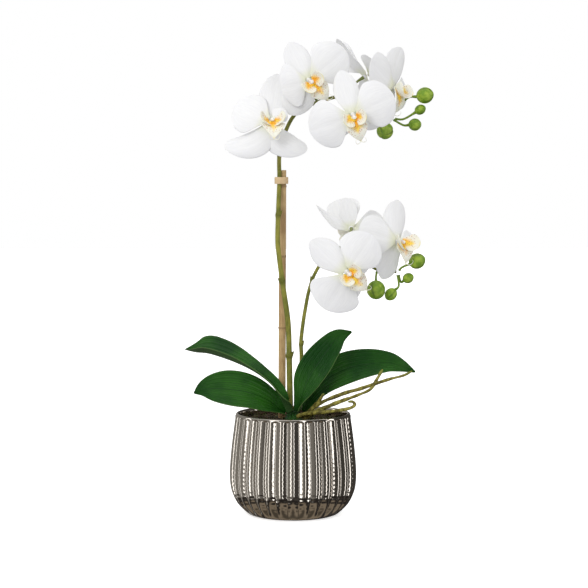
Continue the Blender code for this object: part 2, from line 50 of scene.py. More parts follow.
# The pot, mm
POT_PROFILE = (  # height and outer radius of the lobes' crests, mm
    (0, 42), (1.5, 46.6), (6, 52), (14, 58.9), (26, 64), (43, 65.4), (68, 63.6), (90, 60.9), (99, 59.6),
)
LOBES = 32
GROOVE = 2.5  # how deep the flutes are pressed between the lobes
RIPPLE = 0.5  # and the cross ripples on their flanks
RIPPLE_PITCH = 4.4
STAGGER = 0.375  # of a pitch, from each lobe to the next
FLUTE_LOW, FLUTE_HIGH = 3.0, 103.4  # where the fluting fades out
FLUTE_FADES = (9, 1.8)
LIP_MIDDLE = (103.8, 57.4)  # height and radius
LIP_ROUND = (1.2, 1.6)  # half its height and half its width
MOUTH = 55.5
FLOOR = 5

# What stands in it, mm
BARK_TOP = 96
BARK_REACH = 54
CROWN_RADIUS = 9
STAKE_RADIUS = 3.8
STAKE_FOOT = (-11.6, 12.5, 66)
STAKE_TOP = (-10.6, 6.8, 354.5)
STAKE_JOINTS = (118, 192, 266, 338)
CLIP_MIDDLE = (-11.9, 4.5, 344)
CLIP_TURN = 60  # from +X to the line from the spike to the stake, degrees
CLIP_OPENING = (7.4, 4.8)  # half its length and half its width
CLIP_SECTION = ((-3.5, 0.0), (-3.5, 1.1), (-3.0, 1.5), (3.0, 1.5), (3.5, 1.1), (3.5, 0.0), (0.0, -0.3))
SPIKE_RADIUS = 3.2
SHORT_SPIKE_RADIUS = 2.3
PEDICEL_RADIUS = 1.3
ROOT_RADIUS = 2.0
LEAF_THICKNESS = 1.8
BASE_FOLD = 44  # how much steeper a leaf's fold is where it clasps the crown, degrees
CLASP = 0.22  # and how far up the leaf that reaches
TEPAL_THICKNESS = 0.9
LIP_THICKNESS = 0.9
TALL_JOINTS = (0.126, 0.31, 0.47, 0.62, 0.75, 0.87, 0.985)  # places along a spike, 0 to 1
SHORT_JOINTS = (0.27, 0.55, 0.76, 0.985)

# The studio, which only reflections see. Panels: middle, half width and soft edge, degrees from the front
STUDIO_PANELS = ((-100, 3, 1.5), (-42, 6, 2.0), (22, 4, 1.5), (84, 5, 2.0))
PANEL_WHITE = (2.6, 2.6, 2.6)

# Routes, mm: the spikes run from the crown to their last flower's node
TALL_SPIKE = (
    (-3, -2.5, 111), (-3.4, -4.5, 135), (-4, -6, 166), (-5.2, -9, 200), (-10, -11.5, 235), (-14, -12, 265),
    (-15.7, -10, 284), (-15, -5, 315), (-14, 1, 344), (-14.2, 2, 366), (-12.5, 2, 381), (-8.5, 1, 392),
    (-2.5, 1, 405), (5, 0, 414.5), (13, 0, 419), (27, 0, 424.5), (41, 1, 428.5), (56, 2, 432.5),
    (72, 4, 434), (83.5, 9, 429.5), (92, 15, 418.5), (100.5, 16, 408),
)
SHORT_SPIKE = (
    (5, -4, 111), (8, -3, 135), (8.7, -2, 161), (8.2, -2, 178), (9.8, -2, 194), (12.3, -2, 210.5),
    (16.4, -2, 231.5), (22.6, -1, 249), (33, 2, 264), (46, 4, 271.5), (60, 5, 270), (73, 4, 261),
    (84, 4, 253.5), (95, 5, 250.5), (106.4, 4, 250),
)
# Each bud: middle, length, width, the point it hangs from, and a bend on the way there, mm
BUDS = {
    "bud_high_tip": ((135.3, 10, 431), 18, 16.6, (103, 14.2, 412), (117, 12, 428)),
    "bud_high_outer": ((130.6, 12, 416.5), 12, 10.2, (105, 16.5, 407), (114, 16, 407)),
    "bud_high_inner": ((124.6, 2, 401), 13.5, 12.6, (103.5, 11.5, 406), (113, 7, 400.5)),
    "bud_high_low": ((93.5, -9, 394.5), 19, 17, (99, 13, 404.5), (97, 6, 402.5)),
    "bud_low_big": ((84.8, -12, 232.5), 20, 19, (86, 2, 250), (85, -4, 245.5)),
    "bud_low_left": ((100.3, -2, 227.4), 14, 12.2, (107.4, 1.5, 247), (108.5, -0.5, 236)),
    "bud_low_right": ((118.4, 3, 243.8), 12, 10.6, (108.8, 6.2, 247), (111, 5.5, 239.5)),
    "bud_low_high": ((127.3, 0, 261.5), 17.5, 16, (109.2, 3, 251.6), (112, 1.5, 255)),
}
ROOTS = {
    "root_front": ((5, -13, 103), (15.3, -26, 107.5), (30.2, -38, 110.3), (45, -46, 113.2), (57, -49, 115.8),
                   (62.2, -47, 118.9), (60.1, -43, 121.6), (55.4, -41, 121.3)),
    "root_long": ((12, -8, 101), (19, -14, 110), (30.5, -20, 118.7), (45.5, -25, 125.6), (55.8, -28, 129.6),
                  (67, -31, 133), (81.9, -35, 138.5), (97.6, -39, 144.1), (111.5, -42, 148.2),
                  (120.1, -44, 152.9)),
    "root_middle": ((12, -15, 100), (22, -24, 108.5), (36, -30, 115.5), (50.9, -35, 122), (64.9, -38, 127.5),
                    (78, -41, 134), (84.8, -43, 144.8), (90.3, -45, 154.6)),
    "root_short": ((13, -3, 101), (19.5, -7, 110), (25.8, -13, 117.5), (31.6, -17, 126.9)),
}

# The sheets of a flower. Angles are degrees in its face, from its right towards its top; lengths are mm.
# lift is the slope out of the face at the base, curl what that gains by the tip, cup the turn to each edge.
OUTLINES = {  # width of the claw, place of the widest point, roundness of the end, fall to the end
    "petal": (0.20, 0.50, 2.3, 0.62),
    "sepal": (0.40, 0.50, 2.2, 0.66),
    "side": (0.45, 0.55, 2.0, 0.60),
    "mid": (0.45, 0.40, 1.25, 1.0),
}
SEPAL = {"outline": "sepal", "length": 39, "width": 23, "lift": -12, "curl": -10, "cup": -25, "base": 1.0,
         "height": -1.5}
PETAL = {"outline": "petal", "length": 42, "width": 46, "lift": 0, "curl": -14, "cup": -22, "base": 3.4,
         "height": 1.6}
SIDE = {"outline": "side", "length": 17, "width": 17, "lift": 45, "curl": 25, "cup": 35, "base": 2.5,
        "height": 4.6}
TEPALS = {
    "sepal_top": {**SEPAL, "angle": 90, "length": 41, "width": 24, "lift": -8, "curl": -8},
    "sepal_left": {**SEPAL, "angle": 222},
    "sepal_right": {**SEPAL, "angle": -42},
    "petal_left": {**PETAL, "angle": 172},
    "petal_right": {**PETAL, "angle": 8},
    "lip_left": {**SIDE, "angle": 205},
    "lip_right": {**SIDE, "angle": -25},
    "lip_mid": {"outline": "mid", "angle": -90, "length": 27, "width": 22, "lift": 30, "curl": -75, "cup": 20,
                "base": 2.0, "height": 4.6},
}
# Each flower: place, mm; facing azimuth (from -Y to +X), elevation and roll; where its stalk meets the spike,
# and what differs from TEPALS
FLOWERS = {
    "flower_a": {
        "at": (-22, -36, 402), "face": (8, 30, 0), "node": (-12.6, -2.4, 385),
        "sepal_top": {"angle": 80, "length": 57, "lift": -16, "curl": 56, "width": 32, "cup": -10},
        "petal_left": {"angle": 148, "lift": 2, "curl": -16, "length": 38, "width": 50},
        "petal_right": {"angle": 42, "lift": 10, "curl": -10, "length": 17, "width": 18},
        "sepal_left": {"angle": 248, "sweep": -46, "lift": -10, "curl": -22, "length": 52, "width": 34,
                       "cup": -45},
        "sepal_right": {"angle": -76, "sweep": 44, "lift": -10, "curl": -22, "length": 45, "width": 34,
                        "cup": -45},
        "lip_mid": {"lift": 50, "width": 25},
        "lip_left": {"lift": 42, "width": 20}, "lip_right": {"lift": 42, "width": 20},
    },
    "flower_b": {
        "at": (16, -38, 444.5), "face": (10, -5, 45), "node": (24, 0, 426),
        "sepal_top": {"angle": 72, "length": 42, "width": 27, "lift": -12},
        "petal_left": {"angle": 154, "lift": -8, "curl": -24, "width": 46, "length": 27},
        "petal_right": {"angle": -6, "length": 46, "width": 48, "lift": -4},
        "sepal_left": {"angle": 199, "lift": -12, "length": 40, "width": 34},
        "sepal_right": {"angle": -35, "lift": -45, "length": 34},
    },
    "flower_c": {
        "at": (59.6, -54, 409.5), "face": (3, -6, 17), "node": (54, 0, 429.5),
        "sepal_top": {"angle": 88, "length": 46, "width": 26, "lift": -14},
        "petal_left": {"angle": 184, "length": 43, "width": 50},
        "petal_right": {"angle": 8, "length": 42, "width": 50},
        "sepal_left": {"angle": 208, "lift": -21, "length": 34},
        "sepal_right": {"angle": -34, "lift": -20, "length": 34},
    },
    "flower_d": {
        "at": (76, 27, 452), "face": (110, 30, 0), "node": (58, 4, 436),
        "sepal_top": {"angle": 88, "lift": -6, "length": 48, "width": 32},
        "petal_right": {"angle": 38, "lift": 0, "length": 62, "width": 28, "twist": 70},
        "petal_left": {"angle": 168, "length": 33, "lift": 8, "width": 40},
        "sepal_left": {"angle": 250, "length": 30},
        "sepal_right": {"angle": -60, "length": 30},
    },
    "flower_e": {
        "at": (102, 6, 438.5), "face": (60, 0, -10), "node": (84, 8, 433.5),
        "sepal_top": {"angle": 74, "length": 46, "width": 30, "lift": -9, "curl": 24, "twist": -20,
                      "cup": -15},
        "petal_left": {"angle": 158, "lift": -2, "curl": -12, "length": 45, "width": 44},
        "petal_right": {"angle": -4, "lift": 0, "width": 34, "length": 34},
        "sepal_left": {"angle": 245, "lift": -13, "length": 33, "width": 21},
        "sepal_right": {"angle": -35, "lift": -13},
    },
    "flower_f": {
        "at": (54, -48, 253), "face": (8, -5, 48), "node": (47, 2, 269.5),
        "sepal_top": {"angle": 91, "length": 47, "width": 30, "lift": -8},
        "petal_left": {"angle": 195, "length": 41, "width": 54},
        "petal_right": {"angle": 8, "length": 42, "width": 48},
        "sepal_left": {"angle": 238, "width": 26, "length": 32},
        "sepal_right": {"angle": -26, "lift": -25, "length": 32},
    },
    "flower_g": {
        "at": (60, 26, 294), "face": (185, 0, 0), "node": (48, 4, 274.5),
        "sepal_top": {"angle": 80, "length": 32, "width": 20, "lift": 8, "curl": 10},
        "petal_right": {"angle": 74, "lift": 42, "length": 40, "curl": 10, "width": 36},
        "petal_left": {"angle": 182, "length": 34, "width": 40, "lift": 6},
        "sepal_right": {"angle": 10, "sweep": 24, "twist": 80, "length": 44, "width": 14, "lift": -2},
        "sepal_left": {"angle": 230, "length": 34},
    },
    "flower_h": {
        "at": (106.5, -6, 281.5), "face": (38, 10, 0), "node": (85, 4, 256),
        "sepal_top": {"angle": 82, "length": 43, "width": 27, "lift": -6, "curl": 20, "twist": -20,
                      "cup": -30},
        "petal_left": {"angle": 164, "lift": 0, "curl": -12, "length": 46, "width": 44},
        "petal_right": {"angle": 4, "lift": -4, "length": 22, "width": 22},
        "sepal_left": {"angle": 248, "lift": -12, "length": 40, "width": 28},
        "sepal_right": {"angle": -62, "lift": -36, "length": 36},
        "lip_mid": {"lift": 45, "length": 24},
        "lip_left": {"length": 20, "width": 20}, "lip_right": {"length": 20, "width": 20},
    },
}
# Each leaf: points of its midrib, mm; its half widths there, mm; how far its sides fold up, degrees; and its
# tilt about the midrib, degrees
LEAVES = {
    "leaf_upper_left": (((-5.4, -13, 105.8), (-10.2, -16, 118.7), (-18.6, -13, 133.5),
                         (-32.6, -6, 144.8), (-49.5, 1, 153.6), (-67.1, 6, 160.4), (-86.5, 10, 165.9),
                         (-100.6, 12, 166.9), (-111.7, 13, 169.2)),
        (6.5, 8, 9, 11, 15, 20, 23, 21.5, 1), 30, -10),
    "leaf_lower_left": (((-8.8, -7, 105.1), (-16.9, -9, 111.8), (-27.1, -12, 119.3), (-44.5, -17, 127.2),
                         (-61.9, -22, 130.8), (-79.2, -27, 132.5), (-91.4, -30, 132.1),
                         (-100.4, -32, 129)),
        (6, 12, 17, 20, 21, 19, 13, 1), 14, -60),
    "leaf_upright": (((6.3, -9, 107.5), (9.8, -11, 124.7), (15.6, -12, 141), (25.3, -13, 157.3),
                      (36.1, -13, 172.6), (46.7, -12, 184.4), (59.9, -10, 189.6)),
        (6, 9.5, 15, 16.5, 14.5, 10, 1), 16, 76),
    "leaf_right": (((11, 4, 105.4), (17.7, 8, 119.5), (30.3, 10, 134.4), (51, 10, 147),
                    (73.1, 10, 153.3), (96.1, 8, 155.6), (110.4, 5, 152.9), (125.9, 2, 146.9)),
        (6, 11, 15.5, 18, 17.3, 14.5, 9, 1), 14, 60),
}


# ---------------------------------------------------------------- nodes


class Value:
    """A node's output that takes part in sums: each operator adds the Math node that it stands for."""

    def __init__(self, nodes, socket):
        self.nodes, self.socket = nodes, socket

    def __add__(self, other):
        return self.nodes.math("ADD", self, other)

    def __sub__(self, other):
        return self.nodes.math("SUBTRACT", self, other)

    def __rsub__(self, other):
        return self.nodes.math("SUBTRACT", other, self)

    def __mul__(self, other):
        return self.nodes.math("MULTIPLY", self, other)

    def __truediv__(self, other):
        return self.nodes.math("DIVIDE", self, other)

    __radd__ = __add__
    __rmul__ = __mul__


class Nodes:
    """A node tree written as calls."""

    def __init__(self, tree):
        self.tree = tree

    def node(self, kind, settings=None, inputs=None, out=0):
        """Any node: its settings first, then the values or links of its sockets. Returns one output."""
        made = self.tree.nodes.new(kind)
        for name, value in (settings or {}).items():
            if name == "stops":
                self.ramp(made.color_ramp, value)
            else:
                setattr(made, name, value)
        for name, value in (inputs or {}).items():
            self.feed(made.inputs[name], value)
        return Value(self, made.outputs[out]) if len(made.outputs) else None

    def ramp(self, ramp, stops):
        while len(ramp.elements) < len(stops):
            ramp.elements.new(1)
        for element, (place, colour) in zip(ramp.elements, stops):
            element.position = place
            element.color = (*colour, 1)

    def feed(self, socket, value):
        if isinstance(value, Value):
            self.tree.links.new(value.socket, socket)
        elif socket.type == "RGBA" and len(value) == 3:
            socket.default_value = (*value, 1)
        else:
            socket.default_value = value

    def math(self, operation, *values):
        return self.node("ShaderNodeMath", {"operation": operation}, dict(enumerate(values)))

    def split(self, vector):
        parts = self.node("ShaderNodeSeparateXYZ", inputs={0: vector}).socket.node
        return [Value(self, socket) for socket in parts.outputs]

    def join(self, x, y, z=0.0):
        return self.node("ShaderNodeCombineXYZ", inputs={0: x, 1: y, 2: z})

    def step(self, value, low, high, rising=True):
        """0 to 1, smoothly, as the value goes from low to high; the other way round if not rising."""
        ends = (0.0, 1.0) if rising else (1.0, 0.0)
        return self.node("ShaderNodeMapRange", {"interpolation_type": "SMOOTHSTEP"},
                         {0: value, 1: low, 2: high, 3: ends[0], 4: ends[1]})

    def mix(self, factor, first, second, blend="MIX"):
        return self.node("ShaderNodeMix", {"data_type": "RGBA", "blend_type": blend},
                         {0: factor, 6: first, 7: second}, out=2)

    def tone(self, value, low, high, first, second):
        """One colour below low, another above high, and both in between."""
        return self.mix(self.step(value, low, high), first, second)

    def noise(self, vector, scale, detail=3.0, roughness=0.5):
        return self.node("ShaderNodeTexNoise", inputs={
            "Vector": vector, "Scale": scale, "Detail": detail, "Roughness": roughness})

    def place(self):
        """Where a point is in its object, metres."""
        return self.node("ShaderNodeTexCoord", out=3)


class Finish(Nodes):
    """A material around one Principled shader. The plain values go straight on its sockets."""

    def __init__(self, name, **plain):
        self.material = bpy.data.materials.new(name)
        self.material.use_nodes = True
        super().__init__(self.material.node_tree)
        self.shader = self.tree.nodes["Principled BSDF"]
        for socket, value in plain.items():
            self.put(socket.replace("_", " ").title().replace("Ior", "IOR"), value)

    def put(self, socket, value):
        self.feed(self.shader.inputs[socket], value)

    def bump(self, height, distance, strength=1.0):
        self.put("Normal", self.node("ShaderNodeBump", inputs={
            "Height": height, "Distance": distance, "Strength": strength}))

    def uv(self):
        """Along and across a sheet or a tube, 0 to 1 each."""
        return self.split(self.node("ShaderNodeUVMap", {"uv_map": "UVMap"}))[:2]

    def attribute(self, name):
        return self.node("ShaderNodeAttribute", {"attribute_name": name}, out=2)


# ---------------------------------------------------------------- finishes


def glaze_finish():
    """Silver-grey metallic glaze with soft warm clouds in it."""
    paint = Finish("silver_glaze", metallic=1.0)
    place = paint.place()
    cloud = paint.noise(place, 35.0, 4.0)
    paint.put("Base Color", paint.mix(cloud, (0.50, 0.46, 0.41), (0.60, 0.56, 0.51)))
    paint.put("Roughness", 0.05 + 0.05 * paint.noise(place, 220.0, 2.0))
    paint.bump(paint.noise(place, 160.0, 2.0), 0.00012)
    return paint.material


def bark_finish():
    paint = Finish("bark_brown")
    place = paint.place()
    coarse = paint.noise(place, 90.0, 5.0, 0.65)
    fine = paint.noise(place, 600.0, 4.0, 0.6)
    brown = paint.tone(coarse, 0.35, 0.65, (0.018, 0.010, 0.005), (0.085, 0.045, 0.020))
    mossy = paint.step(paint.noise(place, 28.0, 3.0), 0.52, 0.66)
    paint.put("Base Color", paint.mix(mossy * 0.55, brown, (0.045, 0.055, 0.012)))
    paint.put("Roughness", 0.75 + 0.2 * fine)
    paint.bump(coarse + 0.5 * fine, 0.0012)
    return paint.material


def moss_finish():
    paint = Finish("moss_green", roughness=0.9)
    place = paint.place()
    tone = paint.mix(paint.noise(place, 120.0, 3.0), (0.03, 0.05, 0.008), (0.14, 0.15, 0.03))
    paint.put("Base Color", tone)
    paint.bump(paint.noise(place, 900.0, 2.0), 0.0003)
    return paint.material


def petal_finish():
    """White tissue with fanned veins and a breath of green at the claw."""
    paint = Finish("petal_white", subsurface_weight=0.12, subsurface_radius=(0.004, 0.004, 0.0035),
                   sheen_weight=0.25, sheen_roughness=0.5, specular_ior_level=0.25)
    along, across = paint.uv()
    spread = paint.join(across * 26.0, along * 2.2, 0.0)
    veins = paint.noise(spread, 1.6, 3.0, 0.55)
    cells = paint.noise(paint.place(), 1400.0, 2.0)
    white = paint.tone(veins, 0.35, 0.7, (0.835, 0.835, 0.84), (0.875, 0.875, 0.875))
    claw = paint.step(along, 0.0, 0.22, rising=False)
    paint.put("Base Color", paint.mix(claw * 0.55, white, (0.70, 0.72, 0.42)))
    paint.put("Roughness", 0.5 + 0.15 * cells)
    paint.bump(veins + 0.15 * cells, 0.0002, 0.6)
    return paint.material


def lip_finish():
    """Cream lobes, orange-yellow inside and towards the throat, with fine red-brown specks."""
    paint = Finish("lip_yellow", subsurface_weight=0.08, subsurface_radius=(0.004, 0.003, 0.002),
                   specular_ior_level=0.35)
    along, across = paint.uv()
    place = paint.place()
    inner = paint.attribute("inner")
    blotch = paint.noise(place, 210.0, 3.0)
    edge = paint.math("ABSOLUTE", across - 0.5) * 2.0
    throat = paint.step(along + 0.55 * edge + 0.5 * (blotch - 0.5), 0.30, 0.72, rising=False) * inner
    rim = paint.step(along, 0.80, 0.97)
    cream = paint.mix(0.55 * rim, (0.86, 0.85, 0.74), (0.86, 0.74, 0.22))
    yellow = paint.tone(blotch, 0.4, 0.62, (0.93, 0.66, 0.08), (0.93, 0.42, 0.02))
    colour = paint.mix(throat, cream, yellow)
    spots = paint.node("ShaderNodeTexVoronoi", inputs={"Vector": place, "Scale": 560.0}, out=0)
    specks = paint.step(spots, 0.22, 0.34, rising=False) * inner * paint.step(along, 0.03, 0.12)
    specks = specks * paint.step(along, 0.45, 0.75, rising=False)
    paint.put("Base Color", paint.mix(specks * 0.6, colour, (0.42, 0.09, 0.03)))
    paint.put("Roughness", 0.4 + 0.15 * blotch)
    paint.bump(blotch, 0.0005)
    return paint.material


def column_finish():
    """White column, flushed lilac and yellow under its cap."""
    paint = Finish("column_white", subsurface_weight=0.1, subsurface_radius=(0.003, 0.003, 0.003),
                   roughness=0.35)
    along = paint.uv()[0]
    tone = paint.tone(along, 0.35, 0.62, (0.84, 0.82, 0.70), (0.80, 0.74, 0.80))
    paint.put("Base Color", paint.tone(along, 0.72, 0.9, tone, (0.87, 0.86, 0.84)))
    paint.bump(paint.noise(paint.place(), 500.0, 2.0), 0.0003)
    return paint.material


def leaf_finish():
    """Waxy deep green with parallel ridges, painted shade in the grooves between them, painted shade along
    the creased midrib, a thin pale edge and a duller underside.
    """
    paint = Finish("leaf_green", specular_ior_level=0.22)
    along, across = paint.uv()
    place = paint.place()
    drift = paint.noise(place, 45.0, 3.0)
    ridges = paint.math("SINE", (across + 0.012 * drift) * (tau * 17))
    fine = paint.noise(paint.join(across * 90.0, along * 6.0, 0.0), 1.3, 3.0)
    patch = paint.step(paint.noise(place, 26.0, 3.0), 0.35, 0.68)
    green = paint.mix(patch, (0.005, 0.050, 0.004), (0.022, 0.110, 0.008))
    # painted shade: darker green in the grooves between the ridges, where the bump sinks
    green = paint.mix(paint.step(ridges, -1.0, -0.3, rising=False) * 0.45, green, (0.002, 0.022, 0.003))
    edge = paint.math("ABSOLUTE", across - 0.5) * 2.0
    # painted shade: darker green along the midrib, the crease the two halves fold up from
    midrib_shade = paint.step(edge, 0.0, 0.05, rising=False)
    green = paint.mix(midrib_shade * 0.5, green, (0.003, 0.026, 0.005))
    green = paint.mix(paint.step(edge, 0.95, 0.995) * 0.6, green, (0.13, 0.21, 0.06))
    under = paint.attribute("inner")
    paint.put("Base Color", paint.mix(under * 0.55, green, (0.060, 0.12, 0.040)))
    paint.put("Roughness", 0.24 + 0.14 * fine + 0.12 * under)
    paint.bump(0.5 * ridges + 0.6 * fine, 0.00028, 0.8)
    return paint.material


def stem_finish(name, low, high, dark):
    """A green stem, streaked along its length and darker at its joints."""
    paint = Finish(name, specular_ior_level=0.4)
    along, across = paint.uv()
    place = paint.place()
    streak = paint.noise(paint.join(across * 9.0, along * 14.0, 0.0), 2.2, 4.0)
    cloud = paint.noise(place, 60.0, 3.0)
    tone = paint.tone(cloud, 0.38, 0.64, low, high)
    tone = paint.mix(paint.step(streak, 0.5, 0.72) * 0.6, tone, dark)
    joint = paint.attribute("joint")
    paint.put("Base Color", paint.mix(joint * 0.55, tone, dark))
    paint.put("Roughness", 0.38 + 0.2 * cloud)
    paint.bump(streak + 0.4 * cloud, 0.0003)
    return paint.material


def bud_finish():
    """Olive green in cloudy tones, with painted shade in the grooves of its seams and a darker stalk."""
    paint = Finish("bud_green", specular_ior_level=0.45, coat_weight=0.1, coat_roughness=0.3)
    place = paint.place()
    cloud = paint.noise(place, 190.0, 3.0)
    seam = paint.attribute("joint")
    tone = paint.tone(cloud, 0.35, 0.68, (0.15, 0.28, 0.010), (0.32, 0.45, 0.04))
    # painted shade: darker green in the grooves of the seams; the stalk is darker too, most at its foot
    paint.put("Base Color", paint.mix(seam * 0.8, tone, (0.045, 0.090, 0.004)))
    paint.put("Roughness", 0.36 + 0.2 * cloud)
    paint.bump(cloud, 0.0005)
    return paint.material


def root_finish():
    """Aerial root: silvery bark over green, browner in random patches, bright green at the tip."""
    paint = Finish("root_brown", specular_ior_level=0.3)
    along = paint.uv()[0]
    place = paint.place()
    mottle = paint.noise(place, 240.0, 4.0, 0.6)
    cloud = paint.noise(place, 70.0, 2.0)
    tone = paint.tone(mottle, 0.38, 0.62, (0.10, 0.085, 0.012), (0.30, 0.27, 0.055))
    tone = paint.mix(paint.step(cloud, 0.52, 0.68) * 0.6, tone, (0.055, 0.045, 0.015))
    paint.put("Base Color", paint.mix(paint.step(along, 0.9, 1.0) * 0.7, tone, (0.16, 0.20, 0.03)))
    paint.put("Roughness", 0.45 + 0.3 * mottle)
    paint.bump(mottle, 0.0008)
    return paint.material


def bamboo_finish():
    """Split bamboo: straw to pink-brown, with long fibres and a scar at each joint."""
    paint = Finish("bamboo", coat_weight=0.15, coat_roughness=0.3)
    along, across = paint.uv()
    fibres = paint.noise(paint.join(across * 22.0, along * 5.0, 0.0), 2.4, 5.0, 0.6)
    cloud = paint.noise(paint.place(), 40.0, 3.0)
    tone = paint.tone(cloud, 0.35, 0.65, (0.42, 0.26, 0.11), (0.62, 0.43, 0.20))
    tone = paint.mix(paint.step(fibres, 0.45, 0.7) * 0.6, tone, (0.30, 0.17, 0.065))
    paint.put("Base Color", paint.mix(paint.attribute("joint") * 0.7, tone, (0.19, 0.10, 0.045)))
    paint.put("Roughness", 0.42 + 0.18 * fibres)
    paint.bump(fibres, 0.0004)
    return paint.material


def clip_finish():
    paint = Finish("clip_beige", roughness=0.45)
    place = paint.place()
    tone = paint.mix(paint.noise(place, 300.0, 2.0), (0.60, 0.40, 0.20), (0.78, 0.60, 0.36))
    paint.put("Base Color", tone)
    paint.bump(paint.noise(place, 1500.0, 2.0), 0.0001)
    return paint.material


def floor_finish():
    """A plain pale surface, as bright as the air behind it."""
    paint = Finish("pale_floor", roughness=1.0, base_color=(0.9, 0.9, 0.9), emission_strength=0.62)
    grain = paint.noise(paint.place(), 40.0, 2.0)
    paint.put("Emission Color", paint.mix(grain, (0.99, 0.99, 0.99), (1.0, 1.0, 1.0)))
    return paint.material


# ---------------------------------------------------------------- meshes


def show(obj):
    bpy.context.scene.collection.objects.link(obj)
    return obj


def mesh_piece(name, parts, finish, auto_sharp=None):
    """An object from closed parts, each (points in metres, faces, uv per point, values per point by name)."""
    points, faces, uvs = [], [], []
    values = {}
    for part_points, part_faces, part_uvs, part_values in parts:
        first = len(points)
        points += part_points
        faces += [[first + i for i in face] for face in part_faces]
        uvs += part_uvs
        for key, row in part_values.items():
            values.setdefault(key, [0.0] * first).extend(row)
        for row in values.values():
            row += [0.0] * (len(points) - len(row))
    mesh = bpy.data.meshes.new(name)
    mesh.from_pydata(points, [], faces)
    layer = mesh.uv_layers.new(name="UVMap")
    at = np.empty(len(mesh.loops), np.int32)
    mesh.loops.foreach_get("vertex_index", at)
    layer.data.foreach_set("uv", np.array(uvs, np.float32)[at].ravel())
    for key, row in values.items():
        mesh.attributes.new(key, "FLOAT", "POINT").data.foreach_set("value", np.array(row, np.float32))
    mesh.materials.append(finish)
    mesh.shade_smooth()
    if auto_sharp:
        mesh.set_sharp_from_angle(angle=radians(auto_sharp))
    return show(bpy.data.objects.new(name, mesh))


def unit(vectors):
    return vectors / np.maximum(np.linalg.norm(vectors, axis=-1, keepdims=True), 1e-12)


def hump(values, middle, width):
    """1 at the middle, fading smoothly to 0 a couple of widths away from it."""
    return np.exp(-(((values - middle) / width) ** 2))


def eased(value):
    """0 to 1 with a soft start and end."""
    return value * value * (3 - 2 * value)


def along_and_across(rows, columns):
    """The places of a sheet's points: 0 to 1 down its rows, -1 to 1 over its columns."""
    return np.linspace(0, 1, rows + 1)[:, None], np.linspace(-1, 1, columns + 1)[None, :]


def ring_faces(count, sides):
    """Faces that join rings of points one after another, and cap the first and the last."""
    at = np.arange(count * sides).reshape(count, sides)
    turned = np.roll(at, -1, axis=1)
    faces = np.stack((at[:-1], turned[:-1], turned[1:], at[1:]), -1).reshape(-1, 4).tolist()
    return faces + [at[0, ::-1].tolist(), at[-1].tolist()]


def shell(points, thickness):
    """A closed sheet around a grid of points (rows along, columns across), with thickness at each point."""
    rows, columns = points.shape[:2]
    normal = unit(np.cross(np.gradient(points, axis=0), np.gradient(points, axis=1)))
    count = rows * columns
    offset = normal * thickness[..., None] / 2
    both = np.concatenate(((points + offset).reshape(-1, 3), (points - offset).reshape(-1, 3)))
    at = np.arange(count).reshape(rows, columns)
    a, b, c, d = at[:-1, :-1], at[1:, :-1], at[1:, 1:], at[:-1, 1:]
    front = np.stack((a, b, c, d), -1).reshape(-1, 4)
    edge = np.concatenate((at[:, 0], at[-1, 1:], at[-2::-1, -1], at[0, -2:0:-1]))
    following = np.roll(edge, -1)
    rim = np.stack((following, edge, edge + count, following + count), -1)
    faces = np.concatenate((front, front[:, ::-1] + count, rim))
    along, across = np.meshgrid(np.linspace(0, 1, rows), np.linspace(0, 1, columns), indexing="ij")
    uvs = np.tile(np.stack((along, across), -1).reshape(-1, 2), (2, 1))
    inner = np.repeat((1.0, 0.0), count)
    return (both.tolist(), faces.tolist(), uvs.tolist(), {"inner": inner.tolist()})


def smooth_route(points, steps):
    """A smooth curve through the points, with steps stretches between each two."""
    points = [Vector(p) for p in points]
    ends = [2 * points[0] - points[1], *points, 2 * points[-1] - points[-2]]
    route = []
    for before, start, end, after in zip(ends, ends[1:], ends[2:], ends[3:]):
        handles = start + (end - before) / 6, end - (after - start) / 6
        route += interpolate_bezier(start, *handles, end, steps + 1)[:-1]
    return [*route, points[-1]]


def even_route(points, spacing):
    """The same curve with its points an even distance apart, as an array."""
    fine = np.array([tuple(p) for p in smooth_route(points, 24)])
    length = np.concatenate(((0,), np.cumsum(np.linalg.norm(np.diff(fine, axis=0), axis=1))))
    places = np.linspace(0, length[-1], max(3, int(length[-1] / spacing) + 1))
    return np.stack([np.interp(places, length, fine[:, k]) for k in range(3)], 1)


def sweep(route, radii, sides, joint=None):
    """A closed tube along a route, with one radius for each of its points, and the joints' marks."""
    route = np.asarray(route, float)
    count = len(route)
    ways = unit(np.gradient(route, axis=0))
    side = Vector(ways[0]).orthogonal().normalized()
    around = np.linspace(0, tau, sides, endpoint=False)
    rings = []
    for place, way, radius in zip(route, ways, radii):
        way = Vector(way)
        side = (side - side.dot(way) * way).normalized()
        other = np.array(way.cross(side))
        ring = np.cos(around)[:, None] * np.array(side) + np.sin(around)[:, None] * other
        rings.append(place + radius * ring)
    points = np.concatenate(rings).tolist()
    faces = ring_faces(count, sides)
    along, across = np.meshgrid(np.linspace(0, 1, count), np.arange(sides) / sides, indexing="ij")
    uvs = np.stack((along, across), -1).reshape(-1, 2).tolist()
    joints = np.repeat(np.zeros(count) if joint is None else joint, sides).tolist()
    return (points, faces, uvs, {"joint": joints})


